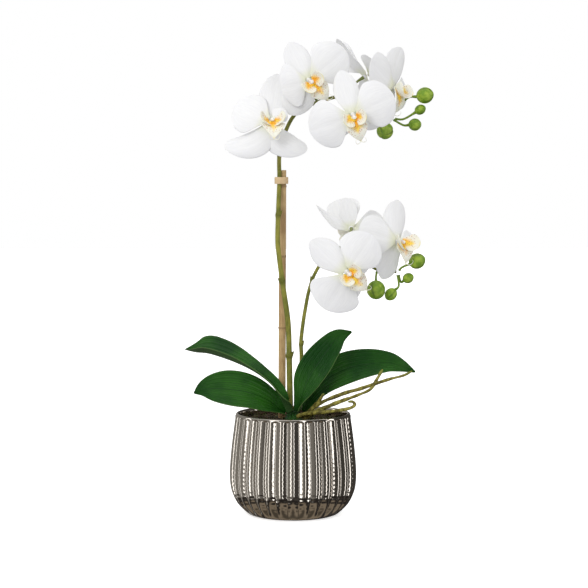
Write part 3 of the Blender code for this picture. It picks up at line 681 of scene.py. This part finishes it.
def orb(matrix, segments=20, rings=14, shape=None):
    """A closed ball under a matrix; shape(height, angle) scales its radius, with height from -1 to 1."""
    bm = bmesh.new()
    bmesh.ops.create_uvsphere(bm, u_segments=segments, v_segments=rings, radius=1)
    uvs, marks = [], []
    for vertex in bm.verts:
        angle = float(np.arctan2(vertex.co.y, vertex.co.x))
        uvs.append(((vertex.co.z + 1) / 2, angle / tau + 0.5))
        scale, mark = shape(vertex.co.z, angle) if shape else (1.0, 0.0)
        marks.append(mark)
        vertex.co.x *= scale
        vertex.co.y *= scale
    bm.transform(matrix)
    points = [tuple(vertex.co) for vertex in bm.verts]
    faces = [[vertex.index for vertex in face.verts] for face in bm.faces]
    bm.free()
    return (points, faces, uvs, {"joint": marks})


def keep(piece, slot, *nodes):
    """The piece is final: it rides on the body and stands for its nodes. Its slot is not used."""
    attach(piece, BODY)
    if nodes:
        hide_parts(*nodes)
    return piece


# ---------------------------------------------------------------- geometry nodes


def geometry_tree(name, sizes):
    """A new geometry tree with one named float input for each size. Returns its nodes and its group input."""
    tree = bpy.data.node_groups.new(name, "GeometryNodeTree")
    tree.interface.new_socket("Geometry", in_out="INPUT", socket_type="NodeSocketGeometry")
    for size in sizes:
        tree.interface.new_socket(size, in_out="INPUT", socket_type="NodeSocketFloat")
    tree.interface.new_socket("Geometry", in_out="OUTPUT", socket_type="NodeSocketGeometry")
    nodes = Nodes(tree)
    group = tree.nodes.new("NodeGroupInput")
    given = {socket.name: Value(nodes, socket) for socket in group.outputs if socket.name}
    return nodes, given


def grown(name, base, nodes, sizes, result, finish):
    """The mesh that a geometry tree makes of a base object, as a new piece. The base is removed."""
    realised = nodes.node("GeometryNodeRealizeInstances", inputs={0: result})
    coloured = nodes.node("GeometryNodeSetMaterial", inputs={"Geometry": realised, "Material": finish})
    nodes.node("NodeGroupOutput", inputs={"Geometry": coloured})
    modifier = base.modifiers.new(name, "NODES")
    modifier.node_group = nodes.tree
    for item in nodes.tree.interface.items_tree:
        if item.name in sizes:
            modifier[item.identifier] = float(sizes[item.name])
    graph = bpy.context.evaluated_depsgraph_get()
    mesh = bpy.data.meshes.new_from_object(base.evaluated_get(graph))
    mesh.name = name
    base.modifiers.clear()
    bpy.data.objects.remove(base, do_unlink=True)
    return show(bpy.data.objects.new(name, mesh))


def lathe(name, profile, around, finish):
    """A closed turned mesh from (height, radius, fluting) rows, with the fluting kept as a value, mm."""
    angles = np.linspace(0, tau, around, endpoint=False)
    rows = np.array(profile)
    ring = np.stack((np.cos(angles), np.sin(angles)), -1)
    points = np.concatenate([np.column_stack((ring * radius, np.full(around, height)))
                             for height, radius, _ in rows]) * MM
    faces = ring_faces(len(rows), around)
    uvs = np.stack((np.repeat(np.linspace(0, 1, len(rows)), around), np.tile(angles / tau, len(rows))), -1)
    values = {"fluting": np.repeat(rows[:, 2], around).tolist()}
    return mesh_piece(name, [(points.tolist(), faces, uvs.tolist(), values)], finish)


def make_pot(finish):
    """The fluted pot: a turned form whose lobes and cross ripples are pressed in by a rule."""
    profile = [(0, 36, 0), (0, 41, 0), (0.5, 43.6, 0)]
    curve = np.array([(p.x, p.y) for p in smooth_route([(h, r, 0) for h, r in POT_PROFILE], 40)])
    for height in [*np.arange(1.5, 10, 1.2), *np.arange(10, 102.6, 0.62)]:
        radius = np.interp(height, curve[:, 0], curve[:, 1])
        rise = min(1, max(0, (height - FLUTE_LOW) / FLUTE_FADES[0]))
        rise *= min(1, max(0, (FLUTE_HIGH - height) / FLUTE_FADES[1]))
        profile.append((height, radius, eased(rise) ** 0.6))
    profile.append((102.8, 59.0, 0))
    (lip_height, lip_radius), (rises, widens) = LIP_MIDDLE, LIP_ROUND
    for turn in np.linspace(0, pi, 9):
        profile.append((lip_height + rises * sin(turn), lip_radius + widens * cos(turn), 0))
    profile += [(102, MOUTH, 0), (99, MOUTH, 0), (90, MOUTH + 0.5, 0)]
    inner = [(h, r - 4.9, 0) for h, r in POT_PROFILE if 14 <= h <= 68]
    profile += [*reversed(inner), (FLOOR, 44, 0), (FLOOR, 20, 0)]
    base = lathe("pot_form", profile, LOBES * 14, finish)
    sizes = {"Lobes": LOBES, "Groove": GROOVE * MM, "Ripple Pitch": RIPPLE_PITCH * MM, "Ripple": RIPPLE * MM}
    nodes, given = geometry_tree("flutes", sizes)
    place = nodes.node("GeometryNodeInputPosition")
    x, y, z = nodes.split(place)
    turn = nodes.math("ARCTAN2", y, x)
    lobe = nodes.math("ABSOLUTE", nodes.math("COSINE", turn * given["Lobes"] / 2.0))
    stagger = nodes.math("FLOOR", turn * given["Lobes"] / tau + 0.5) * (STAGGER * tau)
    wave = nodes.math("COSINE", z * tau / given["Ripple Pitch"] + stagger)
    mask = nodes.node("GeometryNodeInputNamedAttribute", {"data_type": "FLOAT"}, {"Name": "fluting"})
    sink = given["Groove"] * (1.0 - lobe) + given["Ripple"] * lobe * (1.0 - lobe) * (1.0 + wave)
    outwards = nodes.node("ShaderNodeVectorMath", {"operation": "NORMALIZE"}, {0: nodes.join(x, y, 0.0)})
    inwards = nodes.node("ShaderNodeVectorMath", {"operation": "SCALE"},
                         {0: outwards, "Scale": sink * mask * -1.0})
    pressed = nodes.node("GeometryNodeSetPosition", inputs={"Geometry": given["Geometry"], "Offset": inwards})
    keep(grown("fluted_pot", base, nodes, sizes, pressed, finish), "pot", "pot")


def scatter(name, piece_of, density, sizes, finish, seed, smooth=False):
    """Small pieces strewn over the bark, each turned and scaled at random. piece_of(nodes, given) is one."""
    sides, reach, top = 48, BARK_REACH * MM, BARK_TOP * MM
    angles = np.linspace(0, tau, sides, endpoint=False)
    points = [(0, 0, top)] + [(cos(angle) * reach, sin(angle) * reach, top) for angle in angles]
    faces = [(0, i, i % sides + 1) for i in range(1, sides + 1)]
    base = mesh_piece(f"{name}_ground", [(points, faces, [(0, 0)] * len(points), {})], finish)
    sizes = {"Density": density, **sizes}
    nodes, given = geometry_tree(name, sizes)
    spots = nodes.node("GeometryNodeDistributePointsOnFaces", inputs={
        "Mesh": given["Geometry"], "Density": given["Density"], "Seed": seed})
    turns = nodes.node("FunctionNodeRandomValue", {"data_type": "FLOAT_VECTOR"}, {
        "Min": (-0.55, -0.55, 0.0), "Max": (0.55, 0.55, tau), "Seed": seed + 1})
    scales = nodes.node("FunctionNodeRandomValue", {"data_type": "FLOAT_VECTOR"}, {
        "Min": (0.55, 0.55, 0.6), "Max": (1.3, 1.25, 1.3), "Seed": seed + 2})
    strewn = nodes.node("GeometryNodeInstanceOnPoints", inputs={
        "Points": spots, "Instance": piece_of(nodes, given), "Rotation": turns, "Scale": scales})
    solid = nodes.node("GeometryNodeRealizeInstances", inputs={0: strewn})
    wobble = nodes.node("ShaderNodeTexNoise", inputs={"Scale": 160.0, "Detail": 2.0}, out=1)
    centred = nodes.node("ShaderNodeVectorMath", {"operation": "SUBTRACT"}, {0: wobble, 1: (0.5, 0.5, 0.5)})
    moved = nodes.node("ShaderNodeVectorMath", {"operation": "SCALE"},
                       {0: centred, "Scale": given["Wobble"]})
    rough = nodes.node("GeometryNodeSetPosition", inputs={"Geometry": solid, "Offset": moved})
    shaded = nodes.node("GeometryNodeSetShadeSmooth", inputs={"Geometry": rough, "Shade Smooth": smooth})
    return grown(name, base, nodes, sizes, shaded, finish)


def chip(nodes, given):
    """One flake of bark."""
    ball = nodes.node("GeometryNodeMeshIcoSphere", inputs={"Radius": 1.0, "Subdivisions": 2})
    size = nodes.join(given["Length"], given["Width"], given["Thickness"])
    return nodes.node("GeometryNodeTransform", inputs={"Geometry": ball, "Scale": size})


def moss_blade(nodes, given):
    """One thin upright strand of moss."""
    cone = nodes.node("GeometryNodeMeshCone", inputs={
        "Vertices": 5, "Radius Top": 0.0, "Radius Bottom": given["Width"], "Depth": given["Length"]})
    return nodes.node("GeometryNodeTransform", inputs={"Geometry": cone, "Rotation": (0.9, 0.0, 0.0)})


def make_bark(finish, moss):
    """Chips and moss over the frame's own bed of bark, which shows between them."""
    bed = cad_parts["potting_bark"]
    bed.data.materials.clear()
    bed.data.materials.append(finish)
    chips = scatter("bark_chips", chip, 42000, {
        "Length": 5.2 * MM, "Width": 3.1 * MM, "Thickness": 1.4 * MM, "Wobble": 5 * MM}, finish, 4)
    keep(chips, "bark")
    strands = scatter("bark_moss", moss_blade, 60000, {
        "Length": 7 * MM, "Width": 0.35 * MM, "Wobble": 6 * MM}, moss, 11, smooth=True)
    keep(strands, "bark")


# ---------------------------------------------------------------- flowers


def half_width(outline, u):
    """Half the width of a tepal as a share of its full width, from its claw (u=0) to its tip (u=1)."""
    claw, widest, power, fall = OUTLINES[outline]
    rise = np.clip(u / widest, 0, 1)
    rise = claw + (1 - claw) * eased(rise) ** 0.75
    past = np.clip((u - widest) / (1 - widest), 0, 1)
    return 0.5 * rise * (1 - past**power) ** fall


def tepal_points(tepal, rows, columns, ruffle, phase):
    """Rows of points of a tepal in its flower's axes (right, up, facing), mm, with a soft ruffle."""
    u = 1 - (1 - np.linspace(0, 1, rows + 1)) ** 1.35
    fine = np.linspace(0, 1, 101)
    slope = np.radians(tepal["lift"] + tepal["curl"] * fine**1.3)
    run = tepal["length"] * np.cumsum(np.cos(slope)) / 101
    climb = tepal["length"] * np.cumsum(np.sin(slope)) / 101
    turned = np.radians(tepal["angle"] + tepal.get("sweep", 0) * u)
    outwards = np.stack((np.cos(turned), np.sin(turned), 0 * u), 1)
    sideways = np.stack((-np.sin(turned), np.cos(turned), 0 * u), 1)
    facing = np.array((0, 0, 1.0))
    here = np.interp(u, fine, slope)[:, None]
    normal = np.cos(here) * facing - np.sin(here) * outwards
    twist = np.radians(tepal.get("twist", 0)) * u[:, None]
    across = np.cos(twist) * sideways + np.sin(twist) * normal
    front = np.cos(twist) * normal - np.sin(twist) * sideways
    half = np.maximum(tepal["width"] * half_width(tepal["outline"], u), 0.05)[:, None]
    half = half * (1 + 0.02 * np.sin(9 * u + phase))[:, None]
    bend = radians(tepal["cup"]) * half / (tepal["width"] / 2)
    v = np.linspace(-1, 1, columns + 1)[None, :]
    angle = v * bend
    middle = (tepal["base"] + np.interp(u, fine, run))[:, None] * outwards
    middle += (tepal["height"] + np.interp(u, fine, climb))[:, None] * facing
    side = (half / bend * np.sin(angle))[..., None] * across[:, None]
    lifted = (half / bend * (1 - np.cos(angle)))[..., None] * front[:, None]
    u = u[:, None]
    swell = 4 * u * (1 - u)
    wave = abs(v) ** 2.5 * np.sin(7.5 * u + 2.0 * np.sign(v) + phase) * swell
    wave += 0.35 * np.sin(3.3 * u + 2.2 * v + phase) * swell
    wave -= 0.45 * hump(v, 0, 0.14) * np.sqrt(swell)
    return middle[:, None] + side + lifted + (ruffle * wave)[..., None] * front[:, None]


def flower_frame(flower):
    """Takes mm in a flower's axes (right, up, facing) to the world."""
    azimuth, elevation, roll = (radians(a) for a in flower["face"])
    facing = Vector((sin(azimuth) * cos(elevation), -cos(azimuth) * cos(elevation), sin(elevation)))
    level = Vector((cos(azimuth), sin(azimuth), 0))
    upright = facing.cross(level)
    right = cos(roll) * level + sin(roll) * upright
    up = cos(roll) * upright - sin(roll) * level
    turn = Matrix((right, up, facing)).transposed().to_4x4()
    return Matrix.Translation(Vector(flower["at"]) * MM) @ turn @ Matrix.Scale(MM, 4)


def to_world(axes, points):
    matrix = np.array(axes)
    return np.asarray(points, float) @ matrix[:3, :3].T + matrix[:3, 3]


def tepal_shell(part, flower, axes, thickness, rows, columns, ruffle, phase):
    """One sheet of a flower, thinning towards its edge, closed and in the world, and its own points."""
    tepal = {**TEPALS[part], **flower.get(part, {})}
    points = tepal_points(tepal, rows, columns, ruffle, phase)
    u, v = along_and_across(rows, columns)
    thin = thickness * (1 - 0.62 * np.maximum(abs(v) ** 3, u**4))
    return shell(to_world(axes, points), thin * MM), points


def tendrils(axes, tip):
    """The two hair-fine curls at the end of the lip."""
    made = []
    for side in (-1, 1):
        start = Vector(tip[-1][len(tip[-1]) // 2])
        route = [start, start + Vector((2.2 * side, -1.5, 1.2)), start + Vector((4.6 * side, -1.2, 3.4)),
                 start + Vector((5.4 * side, 1.2, 5.4)), start + Vector((4.4 * side, 3.2, 5.6))]
        line = even_route(route, 0.7)
        radii = np.linspace(0.42, 0.14, len(line))
        made.append(sweep(to_world(axes, line), radii * MM, 6))
    return made


def callus(axes):
    """The raised yellow cushion between the side lobes."""
    made = []
    for side in (-1, 1):
        place = Matrix.Translation((1.25 * side, -4.4, 7.6)) @ Matrix.Diagonal((1.5, 1.9, 1.7, 1))
        points, faces, _, values = orb(axes @ place, 12, 8)
        values["inner"] = [1.0] * len(points)
        made.append((points, faces, [(0.1, 0.5)] * len(points), values))
    return made


def make_flower(key, flower, finishes, phase):
    axes = flower_frame(flower)
    letter = key[-1]
    hub = Vector((0, 0, -2.2))
    sepals = [orb(axes @ Matrix.Translation(hub) @ Matrix.Scale(2.7, 4), 16, 10)]
    for i, part in enumerate(("sepal_top", "sepal_left", "sepal_right")):
        sepals.append(tepal_shell(part, flower, axes, TEPAL_THICKNESS, 44, 26, 0.7, phase + 1.9 * i)[0])
    keep(mesh_piece(f"sepals_{letter}", sepals, finishes["petal"]), "sepal", f"{key}_sepals")
    for i, side in enumerate(("left", "right")):
        sheet = tepal_shell(f"petal_{side}", flower, axes, TEPAL_THICKNESS, 52, 40, 1.0, phase + 2.7 * i)[0]
        keep(mesh_piece(f"petal_{letter}_{side}", [sheet], finishes["petal"]), "petal", f"{key}_petal_{side}")
    lobes = callus(axes)
    for i, part in enumerate(("lip_mid", "lip_left", "lip_right")):
        lobe, points = tepal_shell(part, flower, axes, LIP_THICKNESS, 26, 18, 0.35, phase + i)
        lobes.append(lobe)
        if part == "lip_mid":
            lobes += tendrils(axes, points)
    base = Matrix.Translation((0, -2.6, 5)) @ Matrix.Diagonal((3.4, 2.4, 2.2, 1))
    lobes.append(orb(axes @ base, 16, 10))
    keep(mesh_piece(f"lip_{letter}", lobes, finishes["lip"]), "lip", f"{key}_lip")
    make_column(letter, axes, finishes["column"])
    make_pedicel(letter, axes, flower, finishes["pedicel"])


def make_column(letter, axes, finish):
    """The stout column over the lip, with its rounded cap."""
    line = even_route(((0, -0.4, 1.6), (0, -0.5, 5), (0, -1.2, 8.5), (0, -2.6, 11.4)), 0.5)
    u = np.linspace(0, 1, len(line))
    radii = (1.6 + 0.5 * u**2) * np.sqrt(np.maximum(1 - (np.maximum(u - 0.8, 0) / 0.2) ** 2, 0.01))
    radii -= 0.35 * hump(u, 0.7, 0.05)
    keep(mesh_piece(f"column_{letter}", [sweep(to_world(axes, line), radii * MM, 18)], finish), "lip")


def make_pedicel(letter, axes, flower, finish):
    """The flower's own stalk, from behind the sepals to its joint on the spike."""
    start = axes @ Vector((0, 0, -3.4))
    facing = (axes.to_3x3() @ Vector((0, 0, 1))).normalized()
    end = Vector(flower["node"]) * MM
    bend = start - 0.55 * (end - start).length * facing
    line = interpolate_bezier(start, start.lerp(bend, 0.9), end.lerp(bend, 0.35), end, 30)
    u = np.linspace(0, 1, 30)
    radii = PEDICEL_RADIUS * (0.95 + 0.5 * hump(u, 0, 0.12) + 0.25 * hump(u, 1, 0.06))
    stalk = sweep([tuple(p) for p in line], radii * MM, 12, hump(u, 0.97, 0.05))
    keep(mesh_piece(f"pedicel_{letter}", [stalk], finish), "stem")


# ---------------------------------------------------------------- leaves, stems, buds and roots


def leaf_points(spine, widths, fold, tilt, rows, columns):
    """A leaf's middle surface: an arched midrib with two halves folded up from it, ridged lengthwise."""
    midrib = even_route([Vector(p) for p in spine], 1.0)
    pick = np.linspace(0, len(midrib) - 1, rows + 1)
    midrib = np.stack([np.interp(pick, range(len(midrib)), midrib[:, k]) for k in range(3)], 1)
    outline = np.array([(p.x, p.y) for p in smooth_route([(i, w, 0) for i, w in enumerate(widths)], 20)])
    u = np.linspace(0, 1, rows + 1)
    half = np.interp(u * (len(widths) - 1), outline[:, 0], outline[:, 1])
    along = unit(np.gradient(midrib, axis=0))
    level = unit(np.cross(along, (0, 0, 1)))
    grid = np.empty((rows + 1, columns + 1, 3))
    v = np.linspace(-1, 1, columns + 1)
    for i in range(rows + 1):
        way = Vector(along[i])
        side = Matrix.Rotation(radians(tilt), 3, way) @ Vector(level[i])
        rise = np.array(side.cross(way))
        side = np.array(side)
        here = radians(fold + BASE_FOLD * max(0, 1 - u[i] / CLASP) ** 1.5)
        folded = abs(v) ** 1.4 * sin(here)
        ridge = 0.010 * np.cos(v * pi * 9) * min(1, 6 * (1 - u[i]), 8 * u[i])
        wavy = 0.05 * np.sin(7 * u[i] + 2 * np.sign(v)) * abs(v) ** 3
        grid[i] = midrib[i] + half[i] * (np.outer(v * cos(here), side)
                                         + np.outer(folded + ridge + wavy, rise))
    return grid


def make_leaf(name, leaf, finish):
    rows, columns = 72, 54
    points = leaf_points(*leaf, rows, columns)
    u, v = along_and_across(rows, columns)
    thickness = LEAF_THICKNESS * (1 - 0.6 * abs(v) ** 3) * (1 - 0.5 * u**3) * (1 + 0.25 * hump(v, 0, 0.08))
    keep(mesh_piece(f"{name}_blade", [shell(points * MM, thickness * MM)], finish), "leaf", name)


def make_crown(finish):
    """The short stem that everything grows from, ribbed lengthwise."""
    def ribs(height, angle):
        return 1 + 0.04 * sin(9 * angle) * (1 - height**2), 0.0

    core = Matrix.Translation((0, 0, BARK_TOP * MM)) @ Matrix.Diagonal(
        (CROWN_RADIUS * MM, CROWN_RADIUS * MM, 12 * MM, 1))
    keep(mesh_piece("crown_core", [orb(core, 48, 24, ribs)], finish), "leaf", "crown")


def bract(place, way, out, reach, length):
    """A small sheath scale that hugs a stem at a joint and stands a little off it at its tip."""
    way, out = Vector(way).normalized(), Vector(out).normalized()
    side = way.cross(out)
    rows, columns = 12, 10
    grid = np.empty((rows + 1, columns + 1, 3))
    for i in range(rows + 1):
        u = i / rows
        spread = radians(118) * (1 - u**1.6) + 0.02
        radius = reach * (1 + 0.35 * u)
        for j in range(columns + 1):
            angle = spread * (2 * j / columns - 1)
            ring = cos(angle) * np.array(out) + sin(angle) * np.array(side)
            grid[i, j] = np.array(place) + length * u * np.array(way) + radius * ring
    return shell(grid, np.full((rows + 1, columns + 1), 0.3))


def make_spike(name, route, radius, taper, joints, finish, node):
    """A flower stem with its swollen joints, each with a bract. joints are heights along it, 0 to 1."""
    line = even_route(route, 1.6)
    u = np.linspace(0, 1, len(line))
    near = sum(hump(u, at, 0.0055) for at in joints)
    radii = radius * (1 + (taper - 1) * u) * (1 + 0.26 * near)
    keep(mesh_piece(name, [sweep(line * MM, radii * MM, 20, np.clip(near, 0, 1))], finish), "stem", node)
    ways = unit(np.gradient(line, axis=0))
    scales = []
    for k, at in enumerate(joints):
        i = int(at * (len(line) - 1))
        out = Vector(ways[i]).cross(Vector((0, 1, 0) if k % 2 else (0, -1, 0)))
        points, faces, uvs, values = bract(line[i], ways[i], out, radii[i] + 0.1, 5.5)
        scales.append(([tuple(np.array(p) * MM) for p in points], faces, uvs, values))
    keep(mesh_piece(f"{name}_bracts", scales, finish), "stem")


def make_bud(name, bud, finish):
    """A bud of three closed sepals that meet in seams, on its stalk."""
    middle, length, width, foot, bend = bud
    middle, foot, bend = (Vector(p) for p in (middle, foot, bend))
    along = (middle - bend).normalized()
    turn = along.to_track_quat("Z", "Y").to_matrix().to_4x4()

    def sepals(height, angle):
        seam = min(abs((angle - k * tau / 3 + pi) % tau - pi) for k in range(3))
        groove = hump(seam, 0, 0.13) * max(0, min(1, 1.1 + height))
        point = 1 - 0.16 * max(0, height) ** 3
        # the groove also goes out as the mark for the painted shade in the seams
        return float(point * (1 - 0.085 * groove)), float(groove)

    egg = Matrix.Translation(middle * MM) @ turn @ Matrix.Diagonal(
        (width / 2 * MM, width / 2 * MM, length / 2 * MM, 1))
    neck = middle - 0.42 * length * along
    line = even_route((foot, bend, neck), 0.8)
    u = np.linspace(0, 1, len(line))
    radii = PEDICEL_RADIUS * (0.85 + 0.45 * hump(u, 1, 0.15) + 0.3 * hump(u, 0, 0.08))
    stalk = sweep(line * MM, radii * MM, 12, 0.35 + 0.3 * hump(u, 0, 0.1))
    keep(mesh_piece(f"{name}_green", [orb(egg, 42, 26, sepals), stalk], finish), "bud", name)


def make_root(name, points, finish, rng):
    line = even_route(points, 0.9)
    u = np.linspace(0, 1, len(line))
    lumps = sum(rng.uniform(0.03, 0.09) * np.sin(u * f + rng.uniform(0, tau)) for f in (9, 17, 31, 53))
    radii = ROOT_RADIUS * (1.15 - 0.45 * u) * (1 + lumps) * np.sqrt(np.clip((1.006 - u) / 0.04, 0.02, 1))
    keep(mesh_piece(f"{name}_skin", [sweep(line * MM, radii * MM, 14)], finish), "root", name)


def make_stake(finish):
    """The bamboo stake, with a low ring at each joint."""
    line = even_route((STAKE_FOOT, STAKE_TOP), 1.0)
    u = np.linspace(0, 1, len(line))
    near = sum(hump(line[:, 2], at, 0.9) for at in STAKE_JOINTS)
    radii = STAKE_RADIUS * (1 + 0.14 * near - 0.03 * u)
    cane = sweep(line * MM, radii * MM, 28, np.clip(near, 0, 1))
    keep(mesh_piece("bamboo_stake", [cane], finish, auto_sharp=50), "bamboo", "stake")


def make_clip(finish):
    """The tie that holds the tall spike to the stake: one flat band round both."""
    turn = np.array(Matrix.Rotation(radians(CLIP_TURN), 3, "Z"))
    sides = 72
    angles = np.linspace(0, tau, sides, endpoint=False)
    long, short = CLIP_OPENING
    grid = []
    for level, wall in CLIP_SECTION:
        ring = ((long + wall) * np.cos(angles), (short + wall) * np.sin(angles), np.full(sides, level))
        grid.append(np.array(CLIP_MIDDLE) + np.stack(ring, -1) @ turn.T)
    points = (np.concatenate(grid) * MM).tolist()
    at = np.arange(len(points)).reshape(len(grid), sides)
    turned = np.roll(at, -1, axis=1)
    above, turned_above = np.roll(at, -1, axis=0), np.roll(turned, -1, axis=0)
    faces = np.stack((at, turned, turned_above, above), -1).reshape(-1, 4).tolist()
    uvs = [(0.5, 0.5)] * len(points)
    keep(mesh_piece("tie_band", [(points, faces, uvs, {})], finish, auto_sharp=40), "clip", "stake_clip")


# ---------------------------------------------------------------- stage


def make_world():
    """White to the eye; to reflections, tall soft panels between darker screens over a brown table."""
    world = bpy.data.worlds.new("studio")
    bpy.context.scene.world = world
    world.use_nodes = True
    nodes = Nodes(world.node_tree)
    world.node_tree.nodes.clear()
    x, y, z = nodes.split(nodes.node("ShaderNodeTexCoord", out=0))
    turn = nodes.math("ARCTAN2", x, y * -1.0) * (180 / pi)
    height = nodes.math("ARCSINE", z) * (180 / pi)
    panels = 0.0
    for centre, half, edge in STUDIO_PANELS:
        away = nodes.math("ABSOLUTE", turn - centre)
        panels = nodes.step(away, half, half + edge, rising=False) + panels
    panels = panels * nodes.step(height, -31.0, -29.0) * nodes.step(height, 62.0, 66.0, rising=False)
    wall = nodes.mix(nodes.step(turn, -35.0, 25.0), (0.30, 0.29, 0.27), (0.07, 0.066, 0.06))
    wall = nodes.mix(nodes.step(height, -40.0, -30.0, rising=False), wall, (0.03, 0.027, 0.025))
    wall = nodes.mix(nodes.step(height, -58.0, -44.0, rising=False), wall, (0.30, 0.25, 0.19))
    wall = nodes.mix(nodes.step(height, -80.0, -60.0, rising=False), wall, (0.10, 0.085, 0.065))
    mirrored = nodes.mix(nodes.math("MINIMUM", panels, 1.0), wall, PANEL_WHITE)
    mirrored = nodes.mix(nodes.step(height, 48.0, 60.0), mirrored, (0.9, 0.9, 0.9))
    path = nodes.node("ShaderNodeLightPath").socket.node
    seen = Value(nodes, path.outputs["Is Camera Ray"])
    glossy = Value(nodes, path.outputs["Is Glossy Ray"])
    soft = nodes.mix(nodes.step(height, -60.0, 60.0), (0.60, 0.60, 0.62), (1.0, 1.0, 1.0))
    light = nodes.mix(glossy, soft, mirrored)
    light = nodes.mix(seen, light, (1.0, 1.0, 1.0))
    shader = nodes.node("ShaderNodeBackground", inputs={"Color": light, "Strength": 1.0})
    nodes.node("ShaderNodeOutputWorld", inputs={"Surface": shader})


def make_light(name, place, aim, size, energy):
    light = bpy.data.lights.new(name, "AREA")
    light.shape = "DISK"
    light.size = size
    light.energy = energy
    lamp = show(bpy.data.objects.new(name, light))
    lamp.location = place
    lamp.rotation_euler = (Vector(aim) - Vector(place)).to_track_quat("-Z", "Y").to_euler()
    lamp.visible_glossy = False


def make_stage():
    middle = Vector((0.02, 0, 0.26))
    make_light("key_light", (-0.8, -1.9, 1.2), middle, 0.7, 14.5)
    make_light("rim_light", (1.3, 1.0, 1.4), middle, 0.8, 2.0)
    make_world()
    reach = 6.0
    corners = [(x * reach, y * reach, 0) for x, y in ((-1, -1), (1, -1), (1, 1), (-1, 1))]
    floor = mesh_piece("studio_floor", [(corners, [(0, 1, 2, 3)], [(0, 0)] * 4, {})], floor_finish())
    floor.visible_glossy = False
    floor.visible_diffuse = False


def make_camera():
    """Two metres off, a little above the flowers' middle, looking slightly down."""
    lens = bpy.data.cameras.new("camera")
    lens.lens = 119.5
    lens.sensor_width = 36
    camera = show(bpy.data.objects.new("camera", lens))
    camera.location = (0.001, -2.0, 0.365)
    camera.rotation_euler = (radians(90 - 3.93), 0, 0)
    bpy.context.scene.camera = camera
    bpy.context.scene.view_settings.view_transform = "Standard"


def make_plant():
    finishes = {
        "petal": petal_finish(),
        "lip": lip_finish(),
        "column": column_finish(),
        "pedicel": stem_finish("pedicel_green", (0.20, 0.24, 0.06), (0.42, 0.44, 0.20), (0.10, 0.13, 0.03)),
    }
    leaf = leaf_finish()
    stem = stem_finish("stem_green", (0.15, 0.16, 0.018), (0.28, 0.265, 0.040), (0.085, 0.090, 0.012))
    bud = bud_finish()
    root = root_finish()
    rng = np.random.default_rng(7)
    make_crown(leaf)
    for name, leaf_table in LEAVES.items():
        make_leaf(name, leaf_table, leaf)
    make_spike("tall_stem", TALL_SPIKE, SPIKE_RADIUS, 0.45, TALL_JOINTS, stem, "spike_tall")
    make_spike("short_stem", SHORT_SPIKE, SHORT_SPIKE_RADIUS, 0.58, SHORT_JOINTS, stem, "spike_short")
    for i, (key, flower) in enumerate(FLOWERS.items()):
        make_flower(key, flower, finishes, 1.7 * i)
    for name, shape in BUDS.items():
        make_bud(name, shape, bud)
    for name, points in ROOTS.items():
        make_root(name, points, root, rng)


def main():
    make_camera()
    make_stage()
    make_pot(glaze_finish())
    make_bark(bark_finish(), moss_finish())
    make_plant()
    make_stake(bamboo_finish())
    make_clip(clip_finish())


main()
